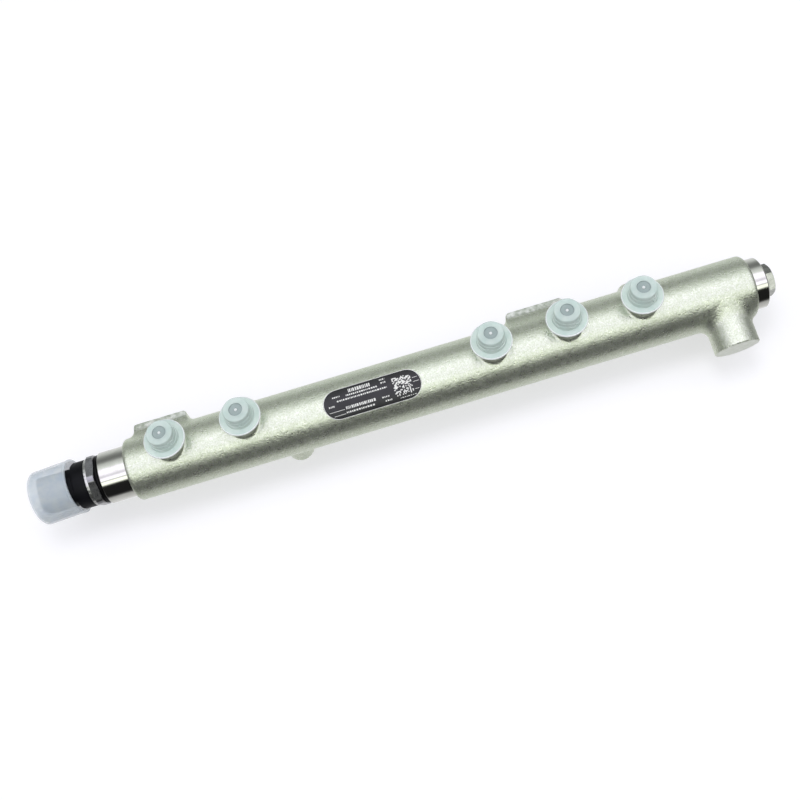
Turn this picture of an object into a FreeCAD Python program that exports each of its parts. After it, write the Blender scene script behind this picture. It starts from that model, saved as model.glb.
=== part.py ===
import FreeCAD, Part
import math
import os

# Diesel fuel rail: a forged and machined steel tube with five capped outlet nipples, a pressure
# sensor screwed into one end and a plug screwed into the other.
# Frame, in millimetres: the origin is midway between the two mounting holes, on the machined face
# of the mounting pads. +X runs along the rail towards the plug, +Z is the way the outlets point,
# and +Y leaves the mounting pads. The rail's own axis lies at y = -pad_face_height.

# Forged tube
tube_radius = 17.6
tube_length = 355.1
tube_start_x = -132.0
tube_end_round = 2.4
gallery_radius = 5.0

# Turned lands at both ends
sensor_land_radius = 14.5
sensor_land_length = 15.5
plug_land_radius = 14.25
plug_land_length = 7.3
land_chamfer = 0.7

# Outlets: the first one from the tube's end, the step between neighbours and the long step past
# the label
first_outlet_setback = 26.7
outlet_step = 42.0
outlet_long_step = 140.0
outlet_boss_radius = 8.7
outlet_boss_fillet = 1.0
outlet_boss_wall = 6.2
nipple_thread_radius = 6.0
nipple_thread_length = 6.2
nipple_relief_radius = 5.2
nipple_relief_length = 1.4
nipple_nose_radius = 5.1
nipple_length = 8.5
nipple_cone_radius = 4.25
nipple_cone_half_angle = 30.0
outlet_drilling_radius = 1.5

# Mounting pads on the back
mounting_hole_spacing = 220.0
pad_rise = 4.2
pad_half_width = 10.0
sensor_pad_length = 30.4
sensor_pad_shift = 0.3
sensor_pad_corner = 2.0
plug_pad_length = 33.5
plug_pad_shift = -3.25
plug_pad_corner = 3.0
pad_fillet = 3.6
mounting_hole_radius = 3.4
mounting_hole_depth = 10.0
drill_tip_half_angle = 59.0

# Round forged bosses
front_boss_setback = 17.1
front_boss_radius = 12.4
front_boss_rise = 14.6
front_boss_turn = 102.0
front_boss_fillet = 4.4
lower_boss_offset = 21.2
lower_boss_radius = 7.9
lower_boss_rise = 18.4
lower_boss_fillet = 3.0

# Low bosses on the back, at some of the outlets
back_boss_outlets = (2, 3, 5)
back_boss_top_radius = 4.2
back_boss_draft = 30.0
back_boss_rise = 4.0
back_boss_fillet = 2.8
back_boss_round = 1.2

# Screwed holes in the rail's ends
end_thread_radius = 8.5
thread_clearance = 0.1
sensor_hole_depth = 13.5
plug_hole_depth = 12.0
plug_seat_half_angle = 45.0
seat_clearance = 0.05

# End plug
plug_hexagon_width = 16.0
plug_head_length = 5.3
plug_neck_radius = 7.6
plug_neck_gap = 0.8
plug_head_crown = 1.1
plug_turn = 35.0
plug_seat_land = 1.6

# Pressure sensor, lengths counted outwards from the end of the rail
sensor_turn = 18.0
sensor_nose_radius = 5.6
sensor_nose_length = 2.4
sensor_edge_radius = 4.2
sensor_edge_height = 1.1
sensor_bore_radius = 1.75
sensor_neck_radius = 7.9
sensor_thread_runout = 1.5
seal_ring_thickness = 2.0
seal_ring_radius = 13.6
sensor_hexagon_width = 27.0
sensor_hexagon_length = 4.4
sensor_corner_radius = 14.8
hexagon_chamfer = 0.5
cell_pocket_radius = 9.6
cell_pocket_depth = 2.4
cell_radius = 4.0
cell_height = 5.0
cell_bore_radius = 2.4
diaphragm_thickness = 0.6
spacer_height = 3.0
spacer_wall = 2.2
board_thickness = 1.0
board_hole_clearance = 0.4
inside_clearance = 0.2
gasket_thickness = 0.5
gasket_width = 1.5
crimp_ring_length = 1.8
crimp_ring_radius = 13.4
crimp_ring_wall = 1.3
crimp_ring_round = 0.55

# Sensor housing and plug socket
housing_radius = 13.2
housing_length = 8.0
housing_round = 1.6
housing_cavity_height = 3.4
housing_floor = 2.0
socket_width = 19.4
socket_height = 24.0
socket_corner = 6.0
socket_wall = 1.6
socket_length = 18.3
latch_width = 7.0
latch_length = 5.0
latch_setback = 4.0
key_width = 2.4
key_spread = 8.0
pin_width = 1.5
pin_thickness = 0.8
pin_spacing = 3.8
pin_foot_offset = 5.9
pin_reach = 12.0
pin_clearance = 0.03

# Protective cap of the sensor
sensor_cap_radius = 15.3
sensor_cap_wall = 1.0
sensor_cap_length = 22.8
sensor_cap_overlap = 0.5
sensor_cap_play = 1.2
sensor_cap_droop = 6.0
sensor_cap_round = 1.8
sensor_cap_bead = 0.25
sensor_cap_bead_length = 1.2

# Press-on caps of the outlets
cap_flange_radius = 11.4
cap_flange_thickness = 1.2
cap_base_radius = 8.0
cap_base_height = 2.6
cap_waist_radius = 7.5
cap_waist_height = 5.4
cap_top_radius = 7.1
cap_height = 9.8
cap_top_round = 0.6
cap_fit = 0.15
cap_roof = 1.1
cap_dimple_radius = 3.7
cap_dimple_depth = 0.6
cap_gate_radius = 0.8
cap_gate_height = 0.4
cap_rib_length = 3.6
cap_rib_width = 1.0
cap_rib_turns = (-60.0, -95.0, -120.0, -65.0, -62.0)

# Data label wrapped on the tube
label_shift = 1.0
label_length = 54.8
label_width = 16.4
label_thickness = 0.25
label_turn = 19.0

# Values that follow from the sizes above
pad_face_height = tube_radius + pad_rise
front_boss_height = tube_radius + front_boss_rise
lower_boss_height = tube_radius + lower_boss_rise
back_boss_height = tube_radius + back_boss_rise
outlet_boss_height = tube_radius + outlet_boss_fillet + outlet_boss_wall
nipple_thread_top = outlet_boss_height + nipple_thread_length
nipple_height = outlet_boss_height + nipple_length
tube_end_x = tube_start_x + tube_length
first_outlet_x = tube_start_x + first_outlet_setback
front_boss_x = tube_end_x - front_boss_setback
sensor_land_x = tube_start_x - sensor_land_length
plug_land_x = tube_end_x + plug_land_length
end_hole_radius = end_thread_radius + thread_clearance
outlet_stations = [
    first_outlet_x,
    first_outlet_x + outlet_step,
    first_outlet_x + outlet_step + outlet_long_step,
    first_outlet_x + 2.0 * outlet_step + outlet_long_step,
    first_outlet_x + 3.0 * outlet_step + outlet_long_step,
]
lower_boss_x = outlet_stations[1] + lower_boss_offset
label_x = (outlet_stations[1] + outlet_stations[2]) / 2.0 + label_shift
hexagon_corner_angle = 360.0 / 6
hexagon_start = seal_ring_thickness
hexagon_end = hexagon_start + sensor_hexagon_length
pocket_floor = hexagon_end - cell_pocket_depth
board_start = pocket_floor + spacer_height
board_end = board_start + board_thickness
spigot_start = hexagon_end + gasket_thickness
housing_start = hexagon_end + crimp_ring_length
housing_end = housing_start + housing_length
cavity_end = spigot_start + housing_cavity_height
socket_floor = cavity_end + housing_floor
socket_end = housing_end + socket_length
spigot_radius = crimp_ring_radius - crimp_ring_wall - inside_clearance

X_AXIS = FreeCAD.Vector(1, 0, 0)
Z_AXIS = FreeCAD.Vector(0, 0, 1)
ORIGIN = FreeCAD.Vector(0, 0, 0)


def turned_on_rail(outline):
    """Turn an outline of (x, radius) points about the rail's axis."""
    points = [FreeCAD.Vector(x, 0, radius) for x, radius in outline]
    face = Part.Face(Part.makePolygon(points + points[:1]))
    return face.revolve(ORIGIN, X_AXIS, 360)


def turned_upright(outline, x=0.0):
    """Turn an outline of (radius, z) points about a vertical axis at x."""
    points = [FreeCAD.Vector(x + radius, 0, z) for radius, z in outline]
    face = Part.Face(Part.makePolygon(points + points[:1]))
    return face.revolve(FreeCAD.Vector(x, 0, 0), Z_AXIS, 360)


def rolled(shape, degrees):
    """Roll a shape about the rail's axis, positive from +Z towards -Y."""
    copy = shape.copy()
    copy.rotate(ORIGIN, X_AXIS, degrees)
    return copy


def out_from_sensor_end(outline):
    """Turn (distance outwards from the sensor end, radius) points into (x, radius) points."""
    return [(sensor_land_x - distance, radius) for distance, radius in outline]


def block(x_low, x_high, y_low, y_high, z_low, z_high):
    """Rectangular block between two corners."""
    corner = FreeCAD.Vector(x_low, y_low, z_low)
    return Part.makeBox(x_high - x_low, y_high - y_low, z_high - z_low, corner)


def hexagon_bar(width, x_low, x_high):
    """Hexagonal bar along X with a corner upwards and the given width across flats."""
    corner_radius = width / math.sqrt(3.0)
    corners = []
    for index in range(6):
        angle = math.radians(hexagon_corner_angle * index)
        corners.append(FreeCAD.Vector(x_low, corner_radius * math.sin(angle), corner_radius * math.cos(angle)))
    face = Part.Face(Part.makePolygon(corners + corners[:1]))
    return face.extrude(FreeCAD.Vector(x_high - x_low, 0, 0))


def rounded_bar(width, height, corner, x_low, x_high):
    """Bar along X with a rounded rectangular section, width across Y and height across Z."""
    bar = block(x_low, x_high, -width / 2.0, width / 2.0, -height / 2.0, height / 2.0)
    long_edges = [edge for edge in bar.Edges if abs(edge.Length - (x_high - x_low)) < 1e-6]
    long_edges = [edge for edge in long_edges if abs(edge.tangentAt(edge.FirstParameter).x) > 0.9]
    return bar.makeFillet(corner, long_edges)


def edges_on_tube(shape, x_low, x_high, accept):
    """Edges that lie on the tube's outside between two stations and that accept(point) keeps."""
    kept = []
    for edge in shape.Edges:
        ends = (edge.FirstParameter, edge.LastParameter)
        samples = [edge.valueAt(ends[0] + share * (ends[1] - ends[0])) for share in (0.0, 0.5, 1.0)]
        on_tube = all(abs(math.hypot(point.y, point.z) - tube_radius) < 0.01 for point in samples)
        between = all(x_low < point.x < x_high for point in samples)
        if on_tube and between and all(accept(point) for point in samples):
            kept.append(edge)
    return kept


def round_boss(x, radius, height):
    """Upright round boss that starts on the rail's axis."""
    return Part.makeCylinder(radius, height, FreeCAD.Vector(x, 0, 0), Z_AXIS)


def joined_with_fillet(body, boss, fillet, x, reach, accept):
    """Join a boss to the tube and round the corner between them."""
    joined = body.fuse(boss)
    return joined.makeFillet(fillet, edges_on_tube(joined, x - reach, x + reach, accept))


def mounting_pad(x, length, corner):
    """Mounting pad that points to the back, with round corners at the ends of its face."""
    half = length / 2.0
    pad = block(x - half, x + half, 0.0, pad_face_height, -pad_half_width, pad_half_width)
    face_ends = []
    for edge in pad.Edges:
        upright = abs(edge.tangentAt(edge.FirstParameter).z) > 0.9
        if upright and edge.CenterOfMass.y > pad_face_height / 2.0:
            face_ends.append(edge)
    return pad.makeFillet(corner, face_ends)


def back_boss(x):
    """Low forged boss that points to the back, with drafted sides and a rounded rim."""
    foot_radius = back_boss_top_radius + back_boss_height * math.tan(math.radians(back_boss_draft))
    place = FreeCAD.Vector(x, 0, 0)
    boss = Part.makeCone(foot_radius, back_boss_top_radius, back_boss_height, place, Z_AXIS)
    rims = [edge for edge in boss.Edges if edge.BoundBox.ZMin > back_boss_height / 2.0]
    return rolled(boss.makeFillet(back_boss_round, rims), -90.0)


def forging():
    """The rail as it leaves the forge: tube, outlet bosses, pads and round bosses in one piece."""
    tube = Part.makeCylinder(tube_radius, tube_length, FreeCAD.Vector(tube_start_x, 0, 0), X_AXIS)
    tube = rolled(tube, -135.0)
    rims = [edge for edge in tube.Edges if isinstance(edge.Curve, Part.Circle)]
    body = tube.makeFillet(tube_end_round, rims)
    for x in outlet_stations:
        boss = round_boss(x, outlet_boss_radius, outlet_boss_height)
        reach = outlet_boss_radius + 1.0
        body = joined_with_fillet(body, boss, outlet_boss_fillet, x, reach, lambda point: point.z > 0)
    for x, length, corner in pad_places():
        pad = mounting_pad(x, length, corner)
        reach = length / 2.0 + 1.0
        body = joined_with_fillet(body, pad, pad_fillet, x, reach, points_back)
    for number in back_boss_outlets:
        x = outlet_stations[number - 1]
        reach = back_boss_top_radius + back_boss_rise
        body = joined_with_fillet(body, back_boss(x), back_boss_fillet, x, reach, points_back)
    front_boss = rolled(round_boss(front_boss_x, front_boss_radius, front_boss_height), front_boss_turn)
    body = joined_with_fillet(
        body, front_boss, front_boss_fillet, front_boss_x, front_boss_radius + 1.0, lambda point: point.y < 0
    )
    lower_boss = rolled(round_boss(lower_boss_x, lower_boss_radius, lower_boss_height), 180.0)
    return joined_with_fillet(
        body, lower_boss, lower_boss_fillet, lower_boss_x, lower_boss_radius + 1.0, lambda point: point.z < 0
    )


def points_back(point):
    """Whether a point lies on the side of the tube where the pads are."""
    return point.y > tube_radius / 2.0


def hole_stations():
    """Station of each mounting hole."""
    return [-mounting_hole_spacing / 2.0, mounting_hole_spacing / 2.0]


def pad_places():
    """Middle, length and corner radius of each mounting pad."""
    sensor_side, plug_side = hole_stations()
    return [
        (sensor_side + sensor_pad_shift, sensor_pad_length, sensor_pad_corner),
        (plug_side + plug_pad_shift, plug_pad_length, plug_pad_corner),
    ]


def end_lands():
    """The two turned lands, with chamfered outer edges."""
    sensor_land = turned_on_rail([
        (tube_start_x + tube_end_round, 0.0),
        (tube_start_x + tube_end_round, sensor_land_radius),
        (sensor_land_x + land_chamfer, sensor_land_radius),
        (sensor_land_x, sensor_land_radius - land_chamfer),
        (sensor_land_x, 0.0),
    ])
    plug_land = turned_on_rail([
        (tube_end_x - tube_end_round, 0.0),
        (tube_end_x - tube_end_round, plug_land_radius),
        (plug_land_x - land_chamfer, plug_land_radius),
        (plug_land_x, plug_land_radius - land_chamfer),
        (plug_land_x, 0.0),
    ])
    return sensor_land, plug_land


def outlet_nipple(x):
    """Threaded nipple on top of an outlet boss, its thread drawn smooth at the outer diameter."""
    lead = nipple_thread_radius - nipple_nose_radius
    return turned_upright([
        (0.0, outlet_boss_height - 1.0),
        (nipple_relief_radius, outlet_boss_height - 1.0),
        (nipple_relief_radius, outlet_boss_height + nipple_relief_length),
        (nipple_thread_radius, outlet_boss_height + nipple_relief_length + lead),
        (nipple_thread_radius, nipple_thread_top),
        (nipple_nose_radius, nipple_thread_top + lead),
        (nipple_nose_radius, nipple_height),
        (0.0, nipple_height),
    ], x)


def outlet_drilling(x):
    """Sealing cone in the nipple's mouth and the drilling down to the gallery."""
    cone_depth = (nipple_cone_radius - outlet_drilling_radius) / math.tan(math.radians(nipple_cone_half_angle))
    over = 1.0
    mouth_radius = nipple_cone_radius + over * math.tan(math.radians(nipple_cone_half_angle))
    return turned_upright([
        (0.0, 0.0),
        (outlet_drilling_radius, 0.0),
        (outlet_drilling_radius, nipple_height - cone_depth),
        (mouth_radius, nipple_height + over),
        (0.0, nipple_height + over),
    ], x)


def mounting_hole(x):
    """Blind tapped hole in a mounting pad, drawn smooth at its core diameter."""
    tip = mounting_hole_radius / math.tan(math.radians(drill_tip_half_angle))
    floor = pad_face_height - mounting_hole_depth
    hole = turned_upright([
        (0.0, floor - tip),
        (mounting_hole_radius, floor),
        (mounting_hole_radius, pad_face_height + 1.0),
        (0.0, pad_face_height + 1.0),
    ], x)
    return rolled(hole, -90.0)


def gallery():
    """The long bore with the screwed hole for the sensor and the screwed hole and seat for the plug."""
    sensor_floor_x = sensor_land_x + sensor_hole_depth
    plug_floor_x = plug_land_x - plug_hole_depth
    seat_depth = (end_hole_radius - gallery_radius) / math.tan(math.radians(plug_seat_half_angle))
    return turned_on_rail([
        (sensor_land_x - 1.0, 0.0),
        (sensor_land_x - 1.0, end_hole_radius),
        (sensor_floor_x, end_hole_radius),
        (sensor_floor_x, gallery_radius),
        (plug_floor_x - seat_depth, gallery_radius),
        (plug_floor_x, end_hole_radius),
        (plug_land_x + 1.0, end_hole_radius),
        (plug_land_x + 1.0, 0.0),
    ])


def make_rail_body():
    """Forging with its lands, nipples, bores and mounting holes."""
    body = forging()
    sensor_land, plug_land = end_lands()
    body = body.fuse([sensor_land, plug_land] + [outlet_nipple(x) for x in outlet_stations])
    cutters = [gallery()]
    cutters += [outlet_drilling(x) for x in outlet_stations]
    cutters += [mounting_hole(x) for x in hole_stations()]
    return body.cut(cutters).removeSplitter()


def make_end_plug():
    """Screwed plug: crowned hexagon head, neck, thread and a cone that seals on the seat."""
    floor_x = plug_land_x - plug_hole_depth
    reach = seat_clearance / math.sin(math.radians(plug_seat_half_angle))
    tip_radius = gallery_radius + plug_seat_land / 2.0
    tip_x = floor_x + reach - (end_thread_radius - tip_radius) / math.tan(math.radians(plug_seat_half_angle))
    shank = turned_on_rail([
        (tip_x, 0.0),
        (tip_x, tip_radius),
        (floor_x + reach, end_thread_radius),
        (plug_land_x - plug_neck_gap, end_thread_radius),
        (plug_land_x, plug_neck_radius),
        (plug_land_x + plug_neck_gap, plug_neck_radius),
        (plug_land_x + plug_neck_gap, 0.0),
    ])
    head_x = plug_land_x + plug_neck_gap
    end_x = head_x + plug_head_length
    flat_radius = plug_hexagon_width / 2.0
    crown = turned_on_rail([
        (head_x - 0.1, 0.0),
        (head_x - 0.1, plug_hexagon_width),
        (end_x - plug_head_crown, flat_radius * 2.0 / math.sqrt(3.0)),
        (end_x - plug_head_crown / 3.0, flat_radius),
        (end_x, flat_radius * 0.8),
        (end_x, 0.0),
    ])
    head = hexagon_bar(plug_hexagon_width, head_x - 0.05, end_x).common(crown)
    return rolled(shank.fuse(head).removeSplitter(), plug_turn - hexagon_corner_angle / 2.0)


def make_sensor_body():
    """Steel body of the sensor: sealing edge, thread, hexagon and the pocket for the cell."""
    tip = -sensor_hole_depth + seat_clearance
    nose = tip + sensor_nose_length
    lead = end_thread_radius - sensor_nose_radius
    stem = turned_on_rail(out_from_sensor_end([
        (tip, sensor_bore_radius),
        (tip, sensor_edge_radius),
        (tip + sensor_edge_height, sensor_nose_radius),
        (nose, sensor_nose_radius),
        (nose + lead / 2.0, end_thread_radius),
        (-sensor_thread_runout, end_thread_radius),
        (-sensor_thread_runout / 2.0, sensor_neck_radius),
        (hexagon_start, sensor_neck_radius),
        (hexagon_start, sensor_bore_radius),
    ]))
    corner_flat = sensor_hexagon_width / 2.0
    envelope = turned_on_rail(out_from_sensor_end([
        (hexagon_start, 0.0),
        (hexagon_start, corner_flat),
        (hexagon_start + hexagon_chamfer, sensor_corner_radius),
        (hexagon_end - hexagon_chamfer, sensor_corner_radius),
        (hexagon_end, corner_flat),
        (hexagon_end, 0.0),
    ]))
    bar = hexagon_bar(sensor_hexagon_width, sensor_land_x - hexagon_end, sensor_land_x - hexagon_start)
    pocket = turned_on_rail(out_from_sensor_end([
        (pocket_floor, 0.0),
        (pocket_floor, cell_pocket_radius),
        (hexagon_end + 1.0, cell_pocket_radius),
        (hexagon_end + 1.0, 0.0),
    ]))
    bore = turned_on_rail(out_from_sensor_end([
        (tip - 1.0, 0.0),
        (tip - 1.0, sensor_bore_radius),
        (pocket_floor + 1.0, sensor_bore_radius),
        (pocket_floor + 1.0, 0.0),
    ]))
    hexagon = bar.common(envelope)
    return rolled(stem.fuse(hexagon).cut([pocket, bore]).removeSplitter(), sensor_turn)


def make_seal_ring():
    """Black rubber ring that keeps dirt out of the sensor's thread."""
    inner = sensor_neck_radius + inside_clearance
    crown = seal_ring_thickness / 4.0
    return turned_on_rail(out_from_sensor_end([
        (0.0, inner),
        (0.0, seal_ring_radius - crown),
        (crown, seal_ring_radius),
        (seal_ring_thickness - crown, seal_ring_radius),
        (seal_ring_thickness, seal_ring_radius - crown),
        (seal_ring_thickness, inner),
    ]))


def make_measuring_cell():
    """Cup with a thin diaphragm that carries the strain gauge bridge."""
    top = pocket_floor + cell_height
    return turned_on_rail(out_from_sensor_end([
        (pocket_floor, cell_bore_radius),
        (pocket_floor, cell_radius),
        (top, cell_radius),
        (top, 0.0),
        (top - diaphragm_thickness, 0.0),
        (top - diaphragm_thickness, cell_bore_radius),
    ]))


def make_board_spacer():
    """Plastic ring between the pocket's floor and the circuit board."""
    outer = cell_pocket_radius - inside_clearance
    return turned_on_rail(out_from_sensor_end([
        (pocket_floor, outer - spacer_wall),
        (pocket_floor, outer),
        (board_start, outer),
        (board_start, outer - spacer_wall),
    ]))


def make_circuit_board():
    """Round circuit board with a hole for the measuring cell."""
    return turned_on_rail(out_from_sensor_end([
        (board_start, cell_radius + board_hole_clearance),
        (board_start, cell_pocket_radius - inside_clearance),
        (board_end, cell_pocket_radius - inside_clearance),
        (board_end, cell_radius + board_hole_clearance),
    ]))


def make_gasket():
    """Flat gasket between the hexagon and the housing's spigot."""
    outer = spigot_radius - inside_clearance
    return turned_on_rail(out_from_sensor_end([
        (hexagon_end, outer - gasket_width),
        (hexagon_end, outer),
        (spigot_start, outer),
        (spigot_start, outer - gasket_width),
    ]))


def make_crimp_ring():
    """Bright rolled ring that holds the housing down on the hexagon."""
    inner = crimp_ring_radius - crimp_ring_wall
    return turned_on_rail(out_from_sensor_end([
        (hexagon_end, inner),
        (hexagon_end, crimp_ring_radius),
        (housing_start - crimp_ring_round, crimp_ring_radius),
        (housing_start, crimp_ring_radius - crimp_ring_round),
        (housing_start, inner),
    ]))


def pin_offsets():
    """Sideways place of each contact pin."""
    return [-pin_spacing, 0.0, pin_spacing]


def pin_slot(offset, clearance):
    """Straight part of a contact pin from the housing's cavity outwards, grown by a clearance."""
    half_width = pin_width / 2.0 + clearance
    half_thickness = pin_thickness / 2.0 + clearance
    x_low = sensor_land_x - socket_floor - pin_reach
    x_high = sensor_land_x - cavity_end
    return block(x_low, x_high, offset - half_width, offset + half_width, -half_thickness, half_thickness)


def make_connector():
    """Black plastic housing with the plug socket, its latch nose and two coding keys."""
    shell = turned_on_rail(out_from_sensor_end([
        (spigot_start, 0.0),
        (spigot_start, spigot_radius),
        (housing_start, spigot_radius),
        (housing_start, housing_radius),
        (housing_end - housing_round, housing_radius),
        (housing_end - housing_round * 0.3, housing_radius - housing_round * 0.3),
        (housing_end, housing_radius - housing_round),
        (housing_end, 0.0),
    ]))
    mouth_x = sensor_land_x - socket_end
    root_x = sensor_land_x - housing_end + housing_round
    socket = rounded_bar(socket_width, socket_height, socket_corner, mouth_x, root_x)
    reach = sensor_cap_radius - sensor_cap_wall - sensor_cap_play
    latch_x = mouth_x + latch_setback
    latch = block(latch_x, latch_x + latch_length, -latch_width / 2.0, latch_width / 2.0, 0.0, reach)
    rim = turned_on_rail([(latch_x - 1.0, 0.0), (latch_x - 1.0, reach), (root_x, reach), (root_x, 0.0)])
    body = shell.fuse([socket, latch.common(rim)])
    for side in (-1.0, 1.0):
        middle = side * key_spread / 2.0
        key = block(latch_x, root_x, middle - key_width / 2.0, middle + key_width / 2.0, -reach, 0.0)
        body = body.fuse(key.common(rim))
    hollow = rounded_bar(
        socket_width - 2.0 * socket_wall,
        socket_height - 2.0 * socket_wall,
        socket_corner - socket_wall,
        mouth_x - 1.0,
        sensor_land_x - socket_floor,
    )
    cavity = turned_on_rail(out_from_sensor_end([
        (spigot_start - 1.0, 0.0),
        (spigot_start - 1.0, cell_pocket_radius + inside_clearance),
        (cavity_end, cell_pocket_radius + inside_clearance),
        (cavity_end, 0.0),
    ]))
    slots = [pin_slot(offset, pin_clearance) for offset in pin_offsets()]
    return rolled(body.cut([hollow, cavity] + slots).removeSplitter(), sensor_turn)


def make_pin(offset):
    """Contact pin bent twice: a foot on the board, a bridge over the cell and the straight blade."""
    half_width = pin_width / 2.0
    half_thickness = pin_thickness / 2.0
    bridge_top = sensor_land_x - cavity_end
    bridge_low = bridge_top + pin_thickness
    sides = (offset - half_width, offset + half_width)
    blade = pin_slot(offset, 0.0)
    bridge = block(
        bridge_top, bridge_low, sides[0], sides[1], -half_thickness, pin_foot_offset + half_thickness
    )
    foot = block(
        bridge_top,
        sensor_land_x - board_end,
        sides[0],
        sides[1],
        pin_foot_offset - half_thickness,
        pin_foot_offset + half_thickness,
    )
    return rolled(blade.fuse([bridge, foot]).removeSplitter(), sensor_turn)


def make_sensor_cap():
    """Thin protective cap that hangs loosely over the plug socket, closed at its outer end."""
    mouth = housing_end - sensor_cap_overlap
    closed_end = mouth + sensor_cap_length
    inner = sensor_cap_radius - sensor_cap_wall
    bead_end = mouth + sensor_cap_bead_length
    corner = sensor_cap_round * 0.3
    cap = turned_on_rail(out_from_sensor_end([
        (mouth, inner),
        (mouth, sensor_cap_radius + sensor_cap_bead),
        (bead_end, sensor_cap_radius + sensor_cap_bead),
        (bead_end + sensor_cap_bead, sensor_cap_radius),
        (closed_end - sensor_cap_round, sensor_cap_radius),
        (closed_end - corner, sensor_cap_radius - corner),
        (closed_end, sensor_cap_radius - sensor_cap_round),
        (closed_end, 0.0),
        (closed_end - sensor_cap_wall, 0.0),
        (closed_end - sensor_cap_wall, inner),
    ]))
    pivot = FreeCAD.Vector(sensor_land_x - (mouth + socket_end) / 2.0, 0, 0)
    cap.rotate(pivot, FreeCAD.Vector(0, 1, 0), -sensor_cap_droop)
    return cap


def make_port_cap(x, rib_turn):
    """Press-on cap: flange, stepped barrel, dimpled roof with a gate mark, and one small rib."""
    low = outlet_boss_height
    flange_top = low + cap_flange_thickness
    base_top = flange_top + cap_base_height
    waist_top = flange_top + cap_waist_height
    top = low + cap_height
    inner = nipple_thread_radius + cap_fit
    nose = nipple_nose_radius + cap_fit
    shoulder = nipple_thread_top + cap_fit
    corner = cap_top_round * 0.3
    cap = turned_upright([
        (inner, low),
        (cap_flange_radius, low),
        (cap_flange_radius, flange_top),
        (cap_base_radius, flange_top),
        (cap_base_radius, base_top),
        (cap_waist_radius, base_top),
        (cap_waist_radius, waist_top),
        (cap_top_radius, waist_top),
        (cap_top_radius, top - cap_top_round),
        (cap_top_radius - corner, top - corner),
        (cap_top_radius - cap_top_round, top),
        (cap_dimple_radius, top),
        (cap_dimple_radius, top - cap_dimple_depth),
        (cap_gate_radius, top - cap_dimple_depth),
        (cap_gate_radius, top - cap_dimple_depth + cap_gate_height),
        (0.0, top - cap_dimple_depth + cap_gate_height),
        (0.0, top - cap_roof),
        (nose, top - cap_roof),
        (nose, shoulder + inner - nose),
        (inner, shoulder),
    ])
    half = cap_rib_width / 2.0
    rib = block(cap_waist_radius - 0.3, cap_base_radius, -half, half, base_top - 0.1, flange_top + cap_rib_length)
    rib.rotate(ORIGIN, Z_AXIS, rib_turn)
    rib.translate(FreeCAD.Vector(x, 0, 0))
    cap.translate(FreeCAD.Vector(x, 0, 0))
    return cap.fuse(rib).removeSplitter()


def make_data_label():
    """Thin label with round ends, wrapped on the tube between the second and third outlets."""
    straight = label_length - label_width
    half = label_width / 2.0
    height = tube_radius + 2.0 * label_thickness
    middle = block(
        label_x - straight / 2.0, label_x + straight / 2.0, -half, half, tube_radius / 2.0, height
    )
    ends = []
    for side in (-1.0, 1.0):
        centre = FreeCAD.Vector(label_x + side * straight / 2.0, 0, tube_radius / 2.0)
        ends.append(Part.makeCylinder(half, height - tube_radius / 2.0, centre, Z_AXIS))
    outline = middle.fuse(ends).removeSplitter()
    wrap = turned_on_rail([
        (label_x - label_length, tube_radius),
        (label_x - label_length, tube_radius + label_thickness),
        (label_x + label_length, tube_radius + label_thickness),
        (label_x + label_length, tube_radius),
    ])
    return rolled(outline.common(wrap), label_turn)


def pieces():
    """Every separate piece with its name."""
    made = {
        "rail_body": make_rail_body(),
        "end_plug": make_end_plug(),
        "sensor_body": make_sensor_body(),
        "sensor_seal_ring": make_seal_ring(),
        "sensor_measuring_cell": make_measuring_cell(),
        "sensor_board_spacer": make_board_spacer(),
        "sensor_circuit_board": make_circuit_board(),
        "sensor_gasket": make_gasket(),
        "sensor_crimp_ring": make_crimp_ring(),
        "sensor_connector": make_connector(),
        "sensor_cap": make_sensor_cap(),
        "data_label": make_data_label(),
    }
    for number, offset in enumerate(pin_offsets(), start=1):
        made["sensor_pin_" + str(number)] = make_pin(offset)
    for number, (x, rib_turn) in enumerate(zip(outlet_stations, cap_rib_turns), start=1):
        made["port_cap_" + str(number)] = make_port_cap(x, rib_turn)
    return made


def main():
    """Write one file for each piece, moved so that the origin lies between the mounting holes."""
    os.makedirs("parts", exist_ok=True)
    for name, shape in pieces().items():
        solid = shape.Solids[0] if len(shape.Solids) == 1 else shape
        solid.translate(FreeCAD.Vector(0, -pad_face_height, 0))
        solid.exportStep(os.path.join("parts", name + ".step"))
        print(name, len(shape.Solids), "solid", round(solid.Volume, 2), "mm3", "valid", solid.isValid())


main()
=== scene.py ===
"""Dress a diesel fuel rail with its real finishes and light it in a plain pale studio.

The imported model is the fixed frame: +X runs along the rail towards the plug, +Z is the way the
outlets point, and the rail's own axis is parallel to X. Everything here is in metres.
"""

import logging
import math
import random
from dataclasses import dataclass, field, replace
from enum import Enum
from typing import Any, Callable, Iterable, Optional, Sequence

import bmesh
import bpy
import numpy as np
from mathutils import Matrix, Vector


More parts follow.
